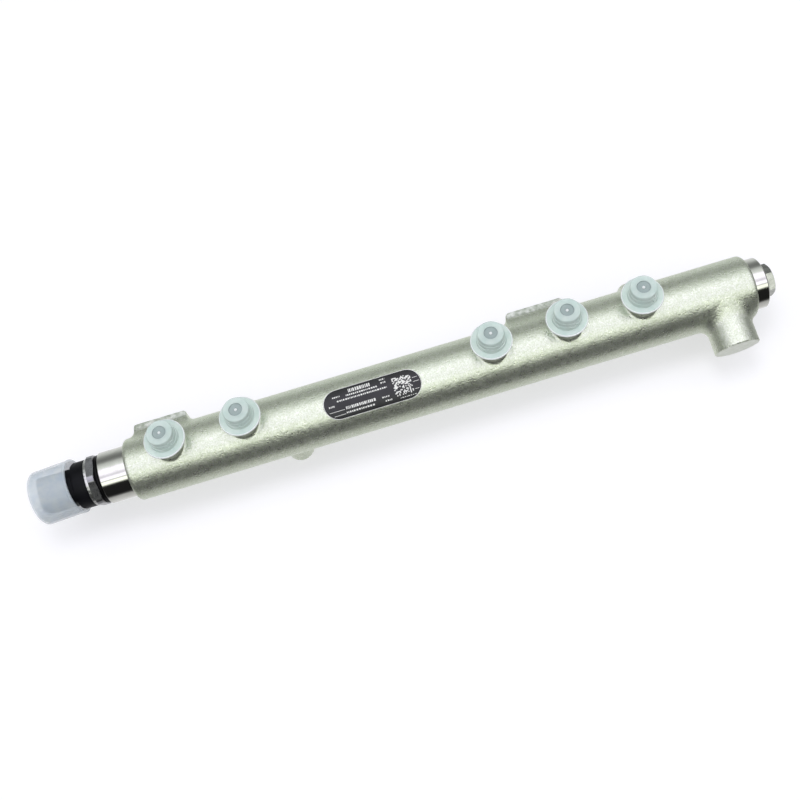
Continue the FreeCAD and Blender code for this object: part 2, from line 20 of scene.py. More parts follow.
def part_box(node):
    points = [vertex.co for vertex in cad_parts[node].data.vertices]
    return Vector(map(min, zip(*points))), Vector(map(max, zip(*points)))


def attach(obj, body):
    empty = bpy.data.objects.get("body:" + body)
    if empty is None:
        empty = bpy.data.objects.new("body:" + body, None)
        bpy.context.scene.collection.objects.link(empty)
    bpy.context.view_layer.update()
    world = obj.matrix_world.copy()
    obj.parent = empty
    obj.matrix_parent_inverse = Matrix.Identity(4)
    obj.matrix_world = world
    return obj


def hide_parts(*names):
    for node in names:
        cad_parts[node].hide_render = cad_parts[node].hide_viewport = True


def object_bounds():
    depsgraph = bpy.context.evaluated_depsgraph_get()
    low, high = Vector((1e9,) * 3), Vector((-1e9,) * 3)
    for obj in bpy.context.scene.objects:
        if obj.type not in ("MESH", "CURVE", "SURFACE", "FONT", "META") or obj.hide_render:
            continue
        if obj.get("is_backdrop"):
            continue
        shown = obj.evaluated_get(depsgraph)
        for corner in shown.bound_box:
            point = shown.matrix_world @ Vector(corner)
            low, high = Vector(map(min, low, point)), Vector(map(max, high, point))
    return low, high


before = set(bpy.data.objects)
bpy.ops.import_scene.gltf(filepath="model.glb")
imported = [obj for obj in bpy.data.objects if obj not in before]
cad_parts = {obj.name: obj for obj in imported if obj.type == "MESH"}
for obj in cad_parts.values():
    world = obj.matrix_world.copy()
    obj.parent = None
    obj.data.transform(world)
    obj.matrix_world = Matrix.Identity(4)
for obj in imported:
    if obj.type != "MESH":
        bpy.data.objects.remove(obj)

log = logging.getLogger("fuel_rail")

MM = 0.001
ROOT = "root"
LATHE_STEPS = 96
CORNER_STEPS = 5
SHARP_ANGLE = math.radians(32.0)
NOISE_LOW, NOISE_HIGH = 0.3, 0.7  # nearly all of a noise pattern lies between these
FACING = 0.97  # least cosine between a face and the way it is said to face
NEAR = 0.1 * MM


class Slot(Enum):
    """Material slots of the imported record."""

    FORGING = "plated_forging"
    TURNED = "turned_steel"
    SENSOR = "sensor_steel"
    ROLLED = "rolled_steel"
    RUBBER = "black_rubber"
    HOUSING = "black_polyamide"
    SPACER = "white_polyamide"
    BOARD = "circuit_board"
    PIN = "tinned_bronze"
    CAP = "natural_polyethylene"
    LABEL = "label_foil"


def linear(colour: str, alpha: float = 1.0) -> tuple[float, float, float, float]:
    """Turn an sRGB hex colour into linear values.

    Args:
        colour: Six hex digits after a hash sign.
        alpha: Opacity to put in the fourth place.

    Returns:
        Red, green, blue and alpha.
    """
    channels = []
    for start in (1, 3, 5):
        value = int(colour[start:start + 2], 16) / 255.0
        channels.append(value / 12.92 if value <= 0.04045 else ((value + 0.055) / 1.055) ** 2.4)
    return channels[0], channels[1], channels[2], alpha


def add_node(
    tree: bpy.types.NodeTree,
    kind: str,
    settings: Optional[dict[str, Any]] = None,
    inputs: Optional[dict[Any, Any]] = None,
) -> bpy.types.Node:
    """Add a node with its settings, its values and its links.

    Args:
        tree: Node tree that the node goes into.
        kind: Blender's name of the node type.
        settings: Properties of the node itself.
        inputs: Input name or number to a value, or to the output socket that feeds it.

    Returns:
        The new node.
    """
    node = tree.nodes.new(kind)
    for name, value in (settings or {}).items():
        setattr(node, name, value)
    for key, value in (inputs or {}).items():
        if isinstance(value, bpy.types.NodeSocket):
            tree.links.new(value, node.inputs[key])
        else:
            node.inputs[key].default_value = value
    return node


def ramp(node: bpy.types.Node, stops: Sequence[tuple[float, tuple[float, float, float, float]]]) -> None:
    """Fill a colour ramp.

    Args:
        node: A ColorRamp node.
        stops: Position and linear colour of each stop, in order.
    """
    elements = node.color_ramp.elements
    while len(elements) > len(stops):
        elements.remove(elements[-1])
    while len(elements) < len(stops):
        elements.new(1.0)
    for element, (position, colour) in zip(elements, stops):
        element.position = position
        element.color = colour


class MaterialDraft:
    """A material under construction: a Principled surface and the object's own coordinates."""

    def __init__(self, name: str) -> None:
        """Start a material.

        Args:
            name: Name of the material.
        """
        self.material = bpy.data.materials.new(name)
        self.material.use_nodes = True
        self.tree = self.material.node_tree
        self.shader = self.tree.nodes["Principled BSDF"]
        self.place = add_node(self.tree, "ShaderNodeTexCoord").outputs["Object"]

    def set(self, **values: Any) -> None:
        """Set constants on the shader, with underscores for the blanks in socket names."""
        for name, value in values.items():
            self.shader.inputs[name.replace("_", " ")].default_value = value

    def noise(self, size: float, detail: float = 3.0, roughness: float = 0.55) -> bpy.types.NodeSocket:
        """Noise with features of a real size.

        Args:
            size: Size of the coarsest features, in metres.
            detail: Octaves of finer noise.
            roughness: Strength of the finer octaves.

        Returns:
            The noise value's socket.
        """
        node = add_node(
            self.tree,
            "ShaderNodeTexNoise",
            inputs={"Vector": self.place, "Scale": 1.0 / size, "Detail": detail, "Roughness": roughness},
        )
        return node.outputs["Fac"]

    def spread(self, value: bpy.types.NodeSocket, low: float, high: float) -> bpy.types.NodeSocket:
        """Map the middle of a noise value to a range.

        Args:
            value: Noise between 0 and 1.
            low: Result where the noise is at its usual lowest.
            high: Result where the noise is at its usual highest.

        Returns:
            The mapped value's socket.
        """
        node = add_node(self.tree, "ShaderNodeMapRange", inputs={
            "Value": value,
            "From Min": NOISE_LOW,
            "From Max": NOISE_HIGH,
            "To Min": low,
            "To Max": high,
        })
        return node.outputs["Result"]

    def blend(self, share: bpy.types.NodeSocket, first: str, second: str) -> bpy.types.NodeSocket:
        """Mix two sRGB colours.

        Args:
            share: Share of the second colour.
            first: Hex colour where the share is 0.
            second: Hex colour where the share is 1.

        Returns:
            The mixed colour's socket.
        """
        node = add_node(
            self.tree,
            "ShaderNodeMix",
            settings={"data_type": "RGBA"},
            inputs={0: share, 6: linear(first), 7: linear(second)},
        )
        return node.outputs[2]

    def bump(self, heights: Iterable[tuple[bpy.types.NodeSocket, float, float]]) -> None:
        """Add relief from several height patterns, each with its depth in metres.

        Args:
            heights: For each pattern, its socket, its strength and its depth.
        """
        normal = None
        for height, strength, depth in heights:
            inputs = {"Height": height, "Strength": strength, "Distance": depth}
            if normal is not None:
                inputs["Normal"] = normal
            normal = add_node(self.tree, "ShaderNodeBump", inputs=inputs).outputs["Normal"]
        self.link(normal, "Normal")

    def link(self, value: bpy.types.NodeSocket, name: str) -> None:
        """Feed one of the shader's inputs."""
        self.tree.links.new(value, self.shader.inputs[name])


@dataclass(frozen=True)
class BlastedPlating:
    """Zinc-nickel plating on forged steel that was shot-blasted first.

    The blasting leaves shallow craters, so the metal glitters in grains and the edges of its
    broad highlight break up into speckles. Its passivated film gives a pale champagne green and
    is slightly chalky, which fills the darkest reflections. The real craters are about 0.4 mm
    across: they are drawn coarser so that a picture shows them.
    """

    name: str = "blasted_zinc_nickel_plating"
    light: str = "#F0F4E6"
    dark: str = "#D3DCC0"
    swell: float = 2.6 * MM
    swell_depth: float = 0.12 * MM
    crater: float = 0.8 * MM
    crater_depth: float = 0.18 * MM
    low_roughness: float = 0.26
    high_roughness: float = 0.38
    metal: float = 0.85

    def build(self) -> bpy.types.Material:
        """Make the material."""
        draft = MaterialDraft(self.name)
        swell = draft.noise(self.swell, detail=1.0)
        craters = draft.noise(self.crater, detail=1.5)
        draft.set(Metallic=self.metal)
        draft.link(draft.blend(draft.spread(craters, 0.0, 1.0), self.light, self.dark), "Base Color")
        draft.link(draft.spread(swell, self.low_roughness, self.high_roughness), "Roughness")
        draft.bump([(swell, 1.0, self.swell_depth), (craters, 1.0, self.crater_depth)])
        return draft.material


@dataclass(frozen=True)
class TurnedSteel:
    """Bright steel from the lathe: fine rings round the rail's axis, nearly a mirror between them.

    Its reflections stay sharp round the rail and are drawn out along it by the tool's grooves.
    """

    name: str = "turned_steel"
    light: str = "#E6E5DE"
    dark: str = "#DAD9D1"
    groove: float = 0.22 * MM
    groove_depth: float = 0.001 * MM
    low_roughness: float = 0.06
    high_roughness: float = 0.10

    def build(self) -> bpy.types.Material:
        """Make the material."""
        draft = MaterialDraft(self.name)
        rings = add_node(
            draft.tree,
            "ShaderNodeTexWave",
            settings={"bands_direction": "X"},
            inputs={"Vector": draft.place, "Scale": 0.314 / self.groove, "Distortion": 0.4, "Detail": 2.0},
        )
        stains = draft.noise(5.0 * MM, detail=4.0)
        draft.set(Metallic=1.0)
        draft.link(draft.blend(draft.spread(stains, 0.0, 1.0), self.light, self.dark), "Base Color")
        draft.link(draft.spread(stains, self.low_roughness, self.high_roughness), "Roughness")
        draft.bump([(rings.outputs["Fac"], 0.5, self.groove_depth)])
        return draft.material


@dataclass(frozen=True)
class WorkedSteel:
    """Steel that was milled, rolled or sheared: a metal with even grain and no direction."""

    name: str
    light: str
    dark: str
    grain: float = 0.5 * MM
    grain_depth: float = 0.01 * MM
    low_roughness: float = 0.25
    high_roughness: float = 0.38

    def build(self) -> bpy.types.Material:
        """Make the material."""
        draft = MaterialDraft(self.name)
        grain = draft.noise(self.grain, detail=3.0)
        patches = draft.noise(3.0 * MM, detail=2.0)
        draft.set(Metallic=1.0)
        draft.link(draft.blend(draft.spread(patches, 0.0, 1.0), self.light, self.dark), "Base Color")
        draft.link(draft.spread(grain, self.low_roughness, self.high_roughness), "Roughness")
        draft.bump([(grain, 0.5, self.grain_depth)])
        return draft.material


@dataclass(frozen=True)
class MouldedPlastic:
    """Opaque moulded plastic or rubber with a fine eroded mould texture."""

    name: str
    light: str
    dark: str
    grain: float = 0.3 * MM
    grain_depth: float = 0.01 * MM
    low_roughness: float = 0.32
    high_roughness: float = 0.45
    refraction: float = 1.53
    shine: float = 0.5

    def build(self) -> bpy.types.Material:
        """Make the material."""
        draft = MaterialDraft(self.name)
        grain = draft.noise(self.grain, detail=2.0)
        patches = draft.noise(6.0 * MM, detail=3.0)
        draft.set(Metallic=0.0, IOR=self.refraction, Specular_IOR_Level=self.shine)
        draft.link(draft.blend(draft.spread(patches, 0.0, 1.0), self.light, self.dark), "Base Color")
        draft.link(draft.spread(patches, self.low_roughness, self.high_roughness), "Roughness")
        draft.bump([(grain, 0.4, self.grain_depth)])
        return draft.material


@dataclass(frozen=True)
class NaturalPolyethylene:
    """Unfilled soft polyethylene: milky and waxy, so that what lies behind it shows as a dim shape.

    The opacity is that of one surface, and a moulded wall has two. A rim or a gate mark holds more plastic,
    so its finish is denser, and it is also whiter as a painted highlight for the light that gathers in it.
    """

    name: str
    light: str
    dark: str
    opacity: float
    cloud: float = 5.0 * MM
    low_roughness: float = 0.14
    high_roughness: float = 0.24
    refraction: float = 1.51

    def build(self) -> bpy.types.Material:
        """Make the material."""
        draft = MaterialDraft(self.name)
        cloud = draft.noise(self.cloud, detail=2.0)
        draft.set(Metallic=0.0, IOR=self.refraction, Alpha=self.opacity)
        draft.link(draft.blend(draft.spread(cloud, 0.0, 1.0), self.light, self.dark), "Base Color")
        draft.link(draft.spread(cloud, self.low_roughness, self.high_roughness), "Roughness")
        return draft.material


@dataclass(frozen=True)
class Finishes:
    """Every finish of the rail, built once."""

    plating: bpy.types.Material
    plug: bpy.types.Material
    milled: bpy.types.Material
    sheared: bpy.types.Material
    turned: bpy.types.Material
    oiled: bpy.types.Material
    sensor: bpy.types.Material
    rolled: bpy.types.Material
    rubber: bpy.types.Material
    housing: bpy.types.Material
    spacer: bpy.types.Material
    board: bpy.types.Material
    pin: bpy.types.Material
    cap: bpy.types.Material
    thin_cap: bpy.types.Material
    cap_rim: bpy.types.Material
    sensor_cap: bpy.types.Material
    label: bpy.types.Material
    print: bpy.types.Material

    @classmethod
    def build(cls) -> "Finishes":
        """Build all the materials."""
        return cls(
            plating=BlastedPlating().build(),
            # The hexagon of the plug was milled and left bare, so it is greyer than the land round it.
            plug=WorkedSteel(
                "milled_hexagon_steel", "#C6C7C2", "#A9AAA5", low_roughness=0.16, high_roughness=0.26
            ).build(),
            # Milling before plating leaves a flat, even face, lighter than the blasted skin.
            milled=WorkedSteel(
                "milled_plated_face", "#F6F8F0", "#E6EADC", low_roughness=0.34, high_roughness=0.5
            ).build(),
            # The forging's flash was sheared off the pads, which leaves a torn, glittering strip.
            sheared=WorkedSteel(
                "sheared_flash", "#F4F6EE", "#AEB6A4",
                grain=1.1 * MM, grain_depth=0.25 * MM, high_roughness=0.5,
            ).build(),
            turned=TurnedSteel().build(),
            # Painted shade: the sealing cones and the bores get a darker steel, which stands for the shade
            # inside them and makes a dark spot under the caps' thin roofs.
            oiled=WorkedSteel(
                "oiled_steel", "#8B9391", "#6F7775", low_roughness=0.3, high_roughness=0.45
            ).build(),
            # Stainless steel with a duller, darker milled face than the plated rail.
            sensor=WorkedSteel("milled_stainless_steel", "#B2B2B4", "#979799").build(),
            # The ring was rolled over the housing: bright, with a mottle from the rollers.
            rolled=WorkedSteel(
                "rolled_steel", "#E4E4E1", "#B8B8B4", grain=1.6 * MM, grain_depth=0.2 * MM
            ).build(),
            # Rubber and filled polyamide swallow the light: deep black with a faint wide sheen.
            rubber=MouldedPlastic(
                "nitrile_rubber", "#070708", "#0D0D0D", refraction=1.52, shine=0.12
            ).build(),
            housing=MouldedPlastic(
                "black_polyamide", "#0B0C0E", "#131417", high_roughness=0.55, shine=0.12
            ).build(),
            # Unfilled polyamide is cream, solder mask a satin green.
            spacer=MouldedPlastic("natural_polyamide", "#E4E0CF", "#D6D1BD").build(),
            board=MouldedPlastic("solder_mask", "#17573A", "#12492F").build(),
            # Tin over bronze: a pale metal with a warm cast.
            pin=WorkedSteel("tinned_bronze", "#D8D3C4", "#BDB7A6").build(),
            cap=NaturalPolyethylene("natural_polyethylene", "#EFFDF6", "#DEF3EB", opacity=0.6).build(),
            thin_cap=NaturalPolyethylene("thin_polyethylene", "#DCEDE9", "#CFE2DE", opacity=0.36).build(),
            # Painted highlight: the rim and the gate mark are whiter and denser, for the light that gathers
            # in them.
            cap_rim=NaturalPolyethylene("polyethylene_rim_highlight", "#FAFDFB", "#F2F8F5", opacity=0.9).build(),
            # The sensor's cap was blown thin and has a cold, bluish milk to it.
            sensor_cap=NaturalPolyethylene("blown_polyethylene", "#F4FCFC", "#E2F0FA", opacity=0.4).build(),
            # The label is a satin black coating, with its marks burnt through to a light grey.
            label=MouldedPlastic(
                "black_marking", "#232325", "#19191B", low_roughness=0.3, high_roughness=0.4, shine=0.5
            ).build(),
            print=MouldedPlastic("light_grey_marking", "#EFF0EA", "#DDDED8").build(),
        )


@dataclass(frozen=True)
class RailFrame:
    """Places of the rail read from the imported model."""

    axis_y: float
    axis_z: float

    @classmethod
    def read(cls) -> "RailFrame":
        """Find the rail's axis from the round ring of the sensor."""
        low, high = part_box("sensor_crimp_ring")
        return cls((low.y + high.y) / 2.0, (low.z + high.z) / 2.0)

    def centre(self, x: float) -> Vector:
        """Point on the rail's axis at a station."""
        return Vector((x, self.axis_y, self.axis_z))

    def direction(self, turn: float) -> Vector:
        """Direction across the rail, turned from +Z towards -Y by an angle in degrees."""
        angle = math.radians(turn)
        return Vector((0.0, -math.sin(angle), math.cos(angle)))


Corner = tuple[float, float, float]
Flat = list[tuple[float, float]]
LARGEST_SETBACK = 0.49  # of an outline's side, so that the roundings at both its ends leave a bit straight


def rounded_outline(corners: Sequence[Corner], steps: int = CORNER_STEPS) -> list[tuple[float, float]]:
    """Round the corners of an open outline.

    Args:
        corners: For each corner, its place along the axis, its radius and the size of its rounding.
        steps: Straight pieces in each rounded corner.

    Returns:
        Points of the outline.
    """
    points: list[tuple[float, float]] = []
    last = len(corners) - 1
    for index, (along, radius, rounding) in enumerate(corners):
        here = Vector((along, radius))
        if rounding <= 0.0 or index in (0, last):
            points.append((along, radius))
            continue
        before = Vector(corners[index - 1][:2]) - here
        after = Vector(corners[index + 1][:2]) - here
        half = before.angle(after) / 2.0
        room = min(before.length, after.length) * LARGEST_SETBACK
        setback = min(rounding / math.tan(half), room)
        true_rounding = setback * math.tan(half)
        bisector = (before.normalized() + after.normalized()).normalized()
        middle = here + bisector * (true_rounding / math.sin(half))
        start = here + before.normalized() * setback - middle
        sweep = start.angle_signed(here + after.normalized() * setback - middle)
        for step in range(steps + 1):
            arm = Matrix.Rotation(-sweep * step / steps, 2) @ start
            points.append((middle + arm)[:])
    return points


def finished(mesh: bpy.types.Mesh, name: str, material: bpy.types.Material) -> bpy.types.Object:
    """Put a mesh in the scene as a smooth-shaded piece that rides on the rail.

    Args:
        mesh: The mesh, already in its place.
        name: Name of the piece.
        material: Its finish.

    Returns:
        The new object.
    """
    mesh.validate()
    mesh.polygons.foreach_set("use_smooth", [True] * len(mesh.polygons))
    mesh.set_sharp_from_angle(angle=SHARP_ANGLE)
    mesh.materials.clear()
    mesh.materials.append(material)
    piece = bpy.data.objects.new(name, mesh)
    bpy.context.scene.collection.objects.link(piece)
    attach(piece, ROOT)
    log.info("piece %s: %d faces", name, len(mesh.polygons))
    return piece


def lathe(
    name: str,
    outline: Sequence[tuple[float, float]],
    start: Vector,
    direction: Vector,
    steps: int = LATHE_STEPS,
    shape: Optional[Callable[[float, float, float], float]] = None,
) -> bpy.types.Mesh:
    """Turn a closed outline about an axis.

    Args:
        name: Name of the mesh.
        outline: Points as distance along the axis and radius.
        start: Point on the axis where the distance is 0.
        direction: Direction of the axis.
        steps: Faces round the axis.
        shape: Optional change of radius from distance, radius and angle.

    Returns:
        A closed mesh with its faces outwards.
    """
    turn = direction.to_track_quat("Z", "Y").to_matrix()
    vertices: list[tuple[float, float, float]] = []
    rings: list[list[int]] = []
    for along, radius in outline:
        if radius < 1e-7:
            vertices.append((start + direction * along)[:])
            rings.append([len(vertices) - 1] * steps)
            continue
        ring = []
        for step in range(steps):
            angle = 2.0 * math.pi * step / steps
            reach = shape(along, radius, angle) if shape else radius
            arm = turn @ Vector((reach * math.cos(angle), reach * math.sin(angle), along))
            ring.append(len(vertices))
            vertices.append((start + arm)[:])
        rings.append(ring)
    faces = []
    for index, ring in enumerate(rings):
        following = rings[(index + 1) % len(rings)]
        for step in range(steps):
            nxt = (step + 1) % steps
            corners = [ring[step], following[step], following[nxt], ring[nxt]]
            unique = list(dict.fromkeys(corners))
            if len(unique) > 2:
                faces.append(unique)
    mesh = bpy.data.meshes.new(name)
    mesh.from_pydata(vertices, [], faces)
    outward(mesh)
    return mesh


def outward(mesh: bpy.types.Mesh) -> None:
    """Turn a closed mesh's faces outwards if its volume comes out negative."""
    volume = 0.0
    points = [vertex.co for vertex in mesh.vertices]
    for polygon in mesh.polygons:
        corners = [points[index] for index in polygon.vertices]
        for second, third in zip(corners[1:-1], corners[2:]):
            volume += corners[0].dot(second.cross(third))
    if volume < 0.0:
        mesh.flip_normals()


def copied(node: str, name: str, material: bpy.types.Material) -> bpy.types.Object:
    """Stand for a CAD node with a merged, smooth-shaded copy of its own shape.

    Args:
        node: Name of the CAD node.
        name: Name of the new piece.
        material: Its finish.

    Returns:
        The new piece.
    """
    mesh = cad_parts[node].data.copy()
    merge_doubles(mesh)
    mesh.name = name
    piece = finished(mesh, name, material)
    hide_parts(node)
    return piece


def merge_doubles(mesh: bpy.types.Mesh) -> None:
    """Join the loose triangles of a CAD copy where their corners meet."""
    work = bmesh.new()
    work.from_mesh(mesh)
    bmesh.ops.remove_doubles(work, verts=work.verts, dist=0.001 * MM)
    work.to_mesh(mesh)
    work.free()
    if mesh.attributes.get("custom_normal"):
        mesh.attributes.remove(mesh.attributes["custom_normal"])


@dataclass(frozen=True)
class RoundBoss:
    """A round boss of the forging, across the rail's axis."""

    x: float
    turn: float
    radius: float
    height: float
    fillet: float
    edge: float = 0.4 * MM
    draft: float = 0.0


@dataclass(frozen=True)
class MountingPad:
    """A block-shaped pad on the back of the forging."""

    x: float
    length: float
    corner: float


@dataclass
class ForgedRail:
    """The forging and what is machined on it: bosses, pads, lands and threaded nipples."""

    place: RailFrame
    finishes: Finishes
    radius: float = 17.6 * MM
    end_round: float = 2.4 * MM
    length: float = 355.1 * MM
    cell: float = 0.79 * MM
    first_outlet_setback: float = 26.7 * MM
    outlet_radius: float = 8.1 * MM
    outlet_fillet: float = 1.5 * MM
    outlet_height: float = 24.8 * MM
    front_turn: float = 102.0
    front_setback: float = 17.1 * MM
    front_radius: float = 12.4 * MM
    front_height: float = 32.2 * MM
    front_fillet: float = 4.4 * MM
    lower_offset: float = 21.2 * MM
    lower_radius: float = 7.9 * MM
    lower_height: float = 36.0 * MM
    lower_fillet: float = 3.0 * MM
    back_outlets: tuple[int, ...] = (2, 3, 5)
    back_radius: float = 4.2 * MM
    back_draft: float = 30.0
    back_height: float = 21.6 * MM
    back_fillet: float = 2.8 * MM
    back_edge: float = 1.2 * MM
    hole_spacing: float = 220.0 * MM
    hole_radius: float = 4.0 * MM
    hole_depth: float = 10.0 * MM
    hole_pitch: float = 1.25 * MM
    thread_ends: float = 2.2
    pad_shifts: tuple[float, float] = (0.3 * MM, -3.25 * MM)
    pad_lengths: tuple[float, float] = (30.4 * MM, 33.5 * MM)
    pad_corners: tuple[float, float] = (2.0 * MM, 3.0 * MM)
    pad_half_width: float = 10.0 * MM
    pad_fillet: float = 3.6 * MM
    pad_edge: float = 0.5 * MM
    flash_overlap: float = 2.0 * MM
    sensor_land_radius: float = 14.5 * MM
    plug_land_radius: float = 14.25 * MM
    land_chamfer: float = 0.7 * MM
    land_edge: float = 0.15 * MM
    hole_edge: float = 0.1 * MM
    end_hole_radius: float = 8.6 * MM
    start_x: float = field(init=False)
    end_x: float = field(init=False)
    low_x: float = field(init=False)
    high_x: float = field(init=False)
    outlets: list[float] = field(init=False)

    def __post_init__(self) -> None:
        """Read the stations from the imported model."""
        low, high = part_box("rail_body")
        self.low_x, self.high_x = low.x, high.x
        self.outlets = []
        for number in range(1, 6):
            cap_low, cap_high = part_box(f"port_cap_{number}")
            self.outlets.append((cap_low.x + cap_high.x) / 2.0)
        self.start_x = self.outlets[0] - self.first_outlet_setback
        self.end_x = self.start_x + self.length

    def bosses(self) -> list[RoundBoss]:
        """All round bosses of the forging."""
        made = []
        for x in self.outlets:
            made.append(RoundBoss(x, 0.0, self.outlet_radius, self.outlet_height, self.outlet_fillet))
        for number in self.back_outlets:
            x = self.outlets[number - 1]
            boss = RoundBoss(x, -90.0, self.back_radius, self.back_height, self.back_fillet)
            made.append(replace(boss, edge=self.back_edge, draft=self.back_draft))
        x = self.end_x - self.front_setback
        made.append(RoundBoss(x, self.front_turn, self.front_radius, self.front_height, self.front_fillet))
        x = self.outlets[1] + self.lower_offset
        made.append(RoundBoss(x, 180.0, self.lower_radius, self.lower_height, self.lower_fillet))
        return made

    def holes(self) -> list[float]:
        """Stations of the mounting holes."""
        return [-self.hole_spacing / 2.0, self.hole_spacing / 2.0]

    def pads(self) -> list[MountingPad]:
        """Both mounting pads."""
        sizes = zip(self.holes(), self.pad_shifts, self.pad_lengths, self.pad_corners)
        return [MountingPad(x + shift, length, corner) for x, shift, length, corner in sizes]

    def distance(self, points: np.ndarray) -> np.ndarray:
        """Signed distance to the forging.

        Args:
            points: Places with x, y and z in the last axis.

        Returns:
            Distances, negative inside.
        """
        x = points[..., 0]
        y = points[..., 1] - self.place.axis_y
        z = points[..., 2] - self.place.axis_z
        middle = (self.start_x + self.end_x) / 2.0
        across = np.hypot(y, z) - self.radius
        body = rounded_corner(across, np.abs(x - middle) - self.length / 2.0, self.end_round)
        for boss in self.bosses():
            direction = self.place.direction(boss.turn)
            along = y * direction.y + z * direction.z
            side = y * direction.z - z * direction.y
            draft = math.radians(boss.draft)
            reach = boss.radius + (boss.height - along) * math.tan(draft)
            wall = (np.hypot(x - boss.x, side) - reach) * math.cos(draft)
            shape = rounded_corner(wall, np.abs(along - boss.height / 2.0) - boss.height / 2.0, boss.edge)
            body = filleted_union(body, shape, boss.fillet)
        for pad in self.pads():
            depth = -self.place.axis_y
            plan = rounded_rectangle(x - pad.x, y - depth / 2.0, pad.length / 2.0, depth / 2.0, pad.corner)
            shape = rounded_corner(plan, np.abs(z) - self.pad_half_width, self.pad_edge)
            body = filleted_union(body, shape, self.pad_fillet)
        for station in self.holes():
            hole = np.hypot(x - station, z) - self.hole_radius
            hole = np.maximum(hole, (-self.place.axis_y - self.hole_depth) - y)
            body = np.maximum(body, -hole)
        return body

    def build(self) -> None:
        """Make the forging, its lands, its nipples and the threads of its mounting holes."""
        mesh = contoured("forged_rail", self.distance, self.limits(), self.cell)
        piece = finished(mesh, "forged_rail", self.finishes.plating)
        mesh.materials.append(self.finishes.milled)
        mesh.materials.append(self.finishes.sheared)
        self.dress_machined_faces(mesh)
        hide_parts("rail_body")
        self.build_lands()
        for number, x in enumerate(self.outlets, start=1):
            Nipple(self.place, self.finishes, x, self.outlet_height).build(number)
        for number, x in enumerate(self.holes(), start=1):
            self.build_mounting_thread(number, x)

    def limits(self) -> tuple[Vector, Vector]:
        """Corners of the space that holds the forging, with room for one cell round it."""
        low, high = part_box("rail_body")
        room = Vector((2.0 * self.cell,) * 3)
        top = self.place.axis_z + self.outlet_height
        return Vector((self.start_x, low.y, low.z)) - room, Vector((self.end_x, high.y, top)) + room

    def dress_machined_faces(self, mesh: bpy.types.Mesh) -> None:
        """Give the flat ends of the bosses and pads their milled finish, and the pads' sides theirs.

        Args:
            mesh: The forging's mesh, with the milled and the sheared finish after the plating.
        """
        count = len(mesh.polygons)
        centres = np.empty(count * 3)
        normals = np.empty(count * 3)
        mesh.polygons.foreach_get("center", centres)
        mesh.polygons.foreach_get("normal", normals)
        centres = centres.reshape(-1, 3) - np.array(self.place.centre(0.0))
        normals = normals.reshape(-1, 3)
        flat = np.zeros(count, bool)
        for boss in self.bosses():
            direction = np.array(self.place.direction(boss.turn))
            facing = normals @ direction > FACING
            flat |= facing & (centres @ direction > boss.height - NEAR)
        flat |= (normals[:, 1] > FACING) & (centres[:, 1] > -self.place.axis_y - NEAR)
        sheared = (np.abs(normals[:, 2]) > FACING) & (np.abs(centres[:, 2]) < self.pad_half_width + NEAR)
        sheared &= centres[:, 1] > self.radius - self.flash_overlap
        choice = np.where(flat, 1, np.where(sheared, 2, 0)).astype(np.int32)
        mesh.polygons.foreach_set("material_index", choice)

    def build_lands(self) -> None:
        """Make the turned land at each end, down to the wall of its screwed hole."""
        ends = [
            ("sensor_end_land", self.low_x, self.start_x, self.sensor_land_radius),
            ("plug_end_land", self.high_x, self.end_x, self.plug_land_radius),
        ]
        for name, outer_x, inner_x, radius in ends:
            toward = 1.0 if inner_x > outer_x else -1.0
            depth = abs(inner_x - outer_x) + self.end_round
            chamfer = self.land_chamfer
            outline = rounded_outline([
                (depth, radius, 0.0),
                (chamfer, radius, self.land_edge),
                (0.0, radius - chamfer, self.land_edge),
                (0.0, self.end_hole_radius + chamfer, self.hole_edge),
                (chamfer, self.end_hole_radius, self.hole_edge),
                (depth, self.end_hole_radius, 0.0),
            ])
            mesh = lathe(name, outline, self.place.centre(outer_x), Vector((toward, 0.0, 0.0)), steps=160)
            finished(mesh, name, self.finishes.turned)

    def build_mounting_thread(self, number: int, x: float) -> None:
        """Make the thread inside a mounting hole.

        Args:
            number: Number of the hole, from the sensor end.
            x: Station of the hole.
        """
        ridge = self.hole_pitch / 2.0
        thread = HelicalThread(radius=self.hole_radius, pitch=self.hole_pitch, ridge=ridge)
        start = Vector((x, ridge - self.hole_depth, self.place.axis_z))
        length = self.hole_depth - self.thread_ends * ridge
        mesh = thread.build(f"mounting_thread_{number}", start, Vector((0.0, 1.0, 0.0)), length)
        finished(mesh, f"mounting_thread_{number}", self.finishes.milled)


def rounded_corner(first: np.ndarray, second: np.ndarray, rounding: float) -> np.ndarray:
    """Distance to the space inside two surfaces, with the edge between them rounded."""
    first = first + rounding
    second = second + rounding
    outside = np.hypot(np.maximum(first, 0.0), np.maximum(second, 0.0))
    return np.minimum(np.maximum(first, second), 0.0) + outside - rounding


def rounded_rectangle(
    x: np.ndarray, y: np.ndarray, half_x: float, half_y: float, rounding: float
) -> np.ndarray:
    """Distance to a rectangle round the origin with rounded corners."""
    return rounded_corner(np.abs(x) - half_x, np.abs(y) - half_y, rounding)


def filleted_union(first: np.ndarray, second: np.ndarray, fillet: float) -> np.ndarray:
    """Distance to two shapes joined with a round fillet, as a ball rolled between them leaves it."""
    ball = np.hypot(np.maximum(fillet - first, 0.0), np.maximum(fillet - second, 0.0))
    return np.maximum(np.minimum(first, second), fillet) - ball


SURFACE_PASSES = 4
SLOPE_PROBE = 0.05  # of a cell
LEAST_SLOPE = 0.25  # squared, so that a step in a sharp corner stays short


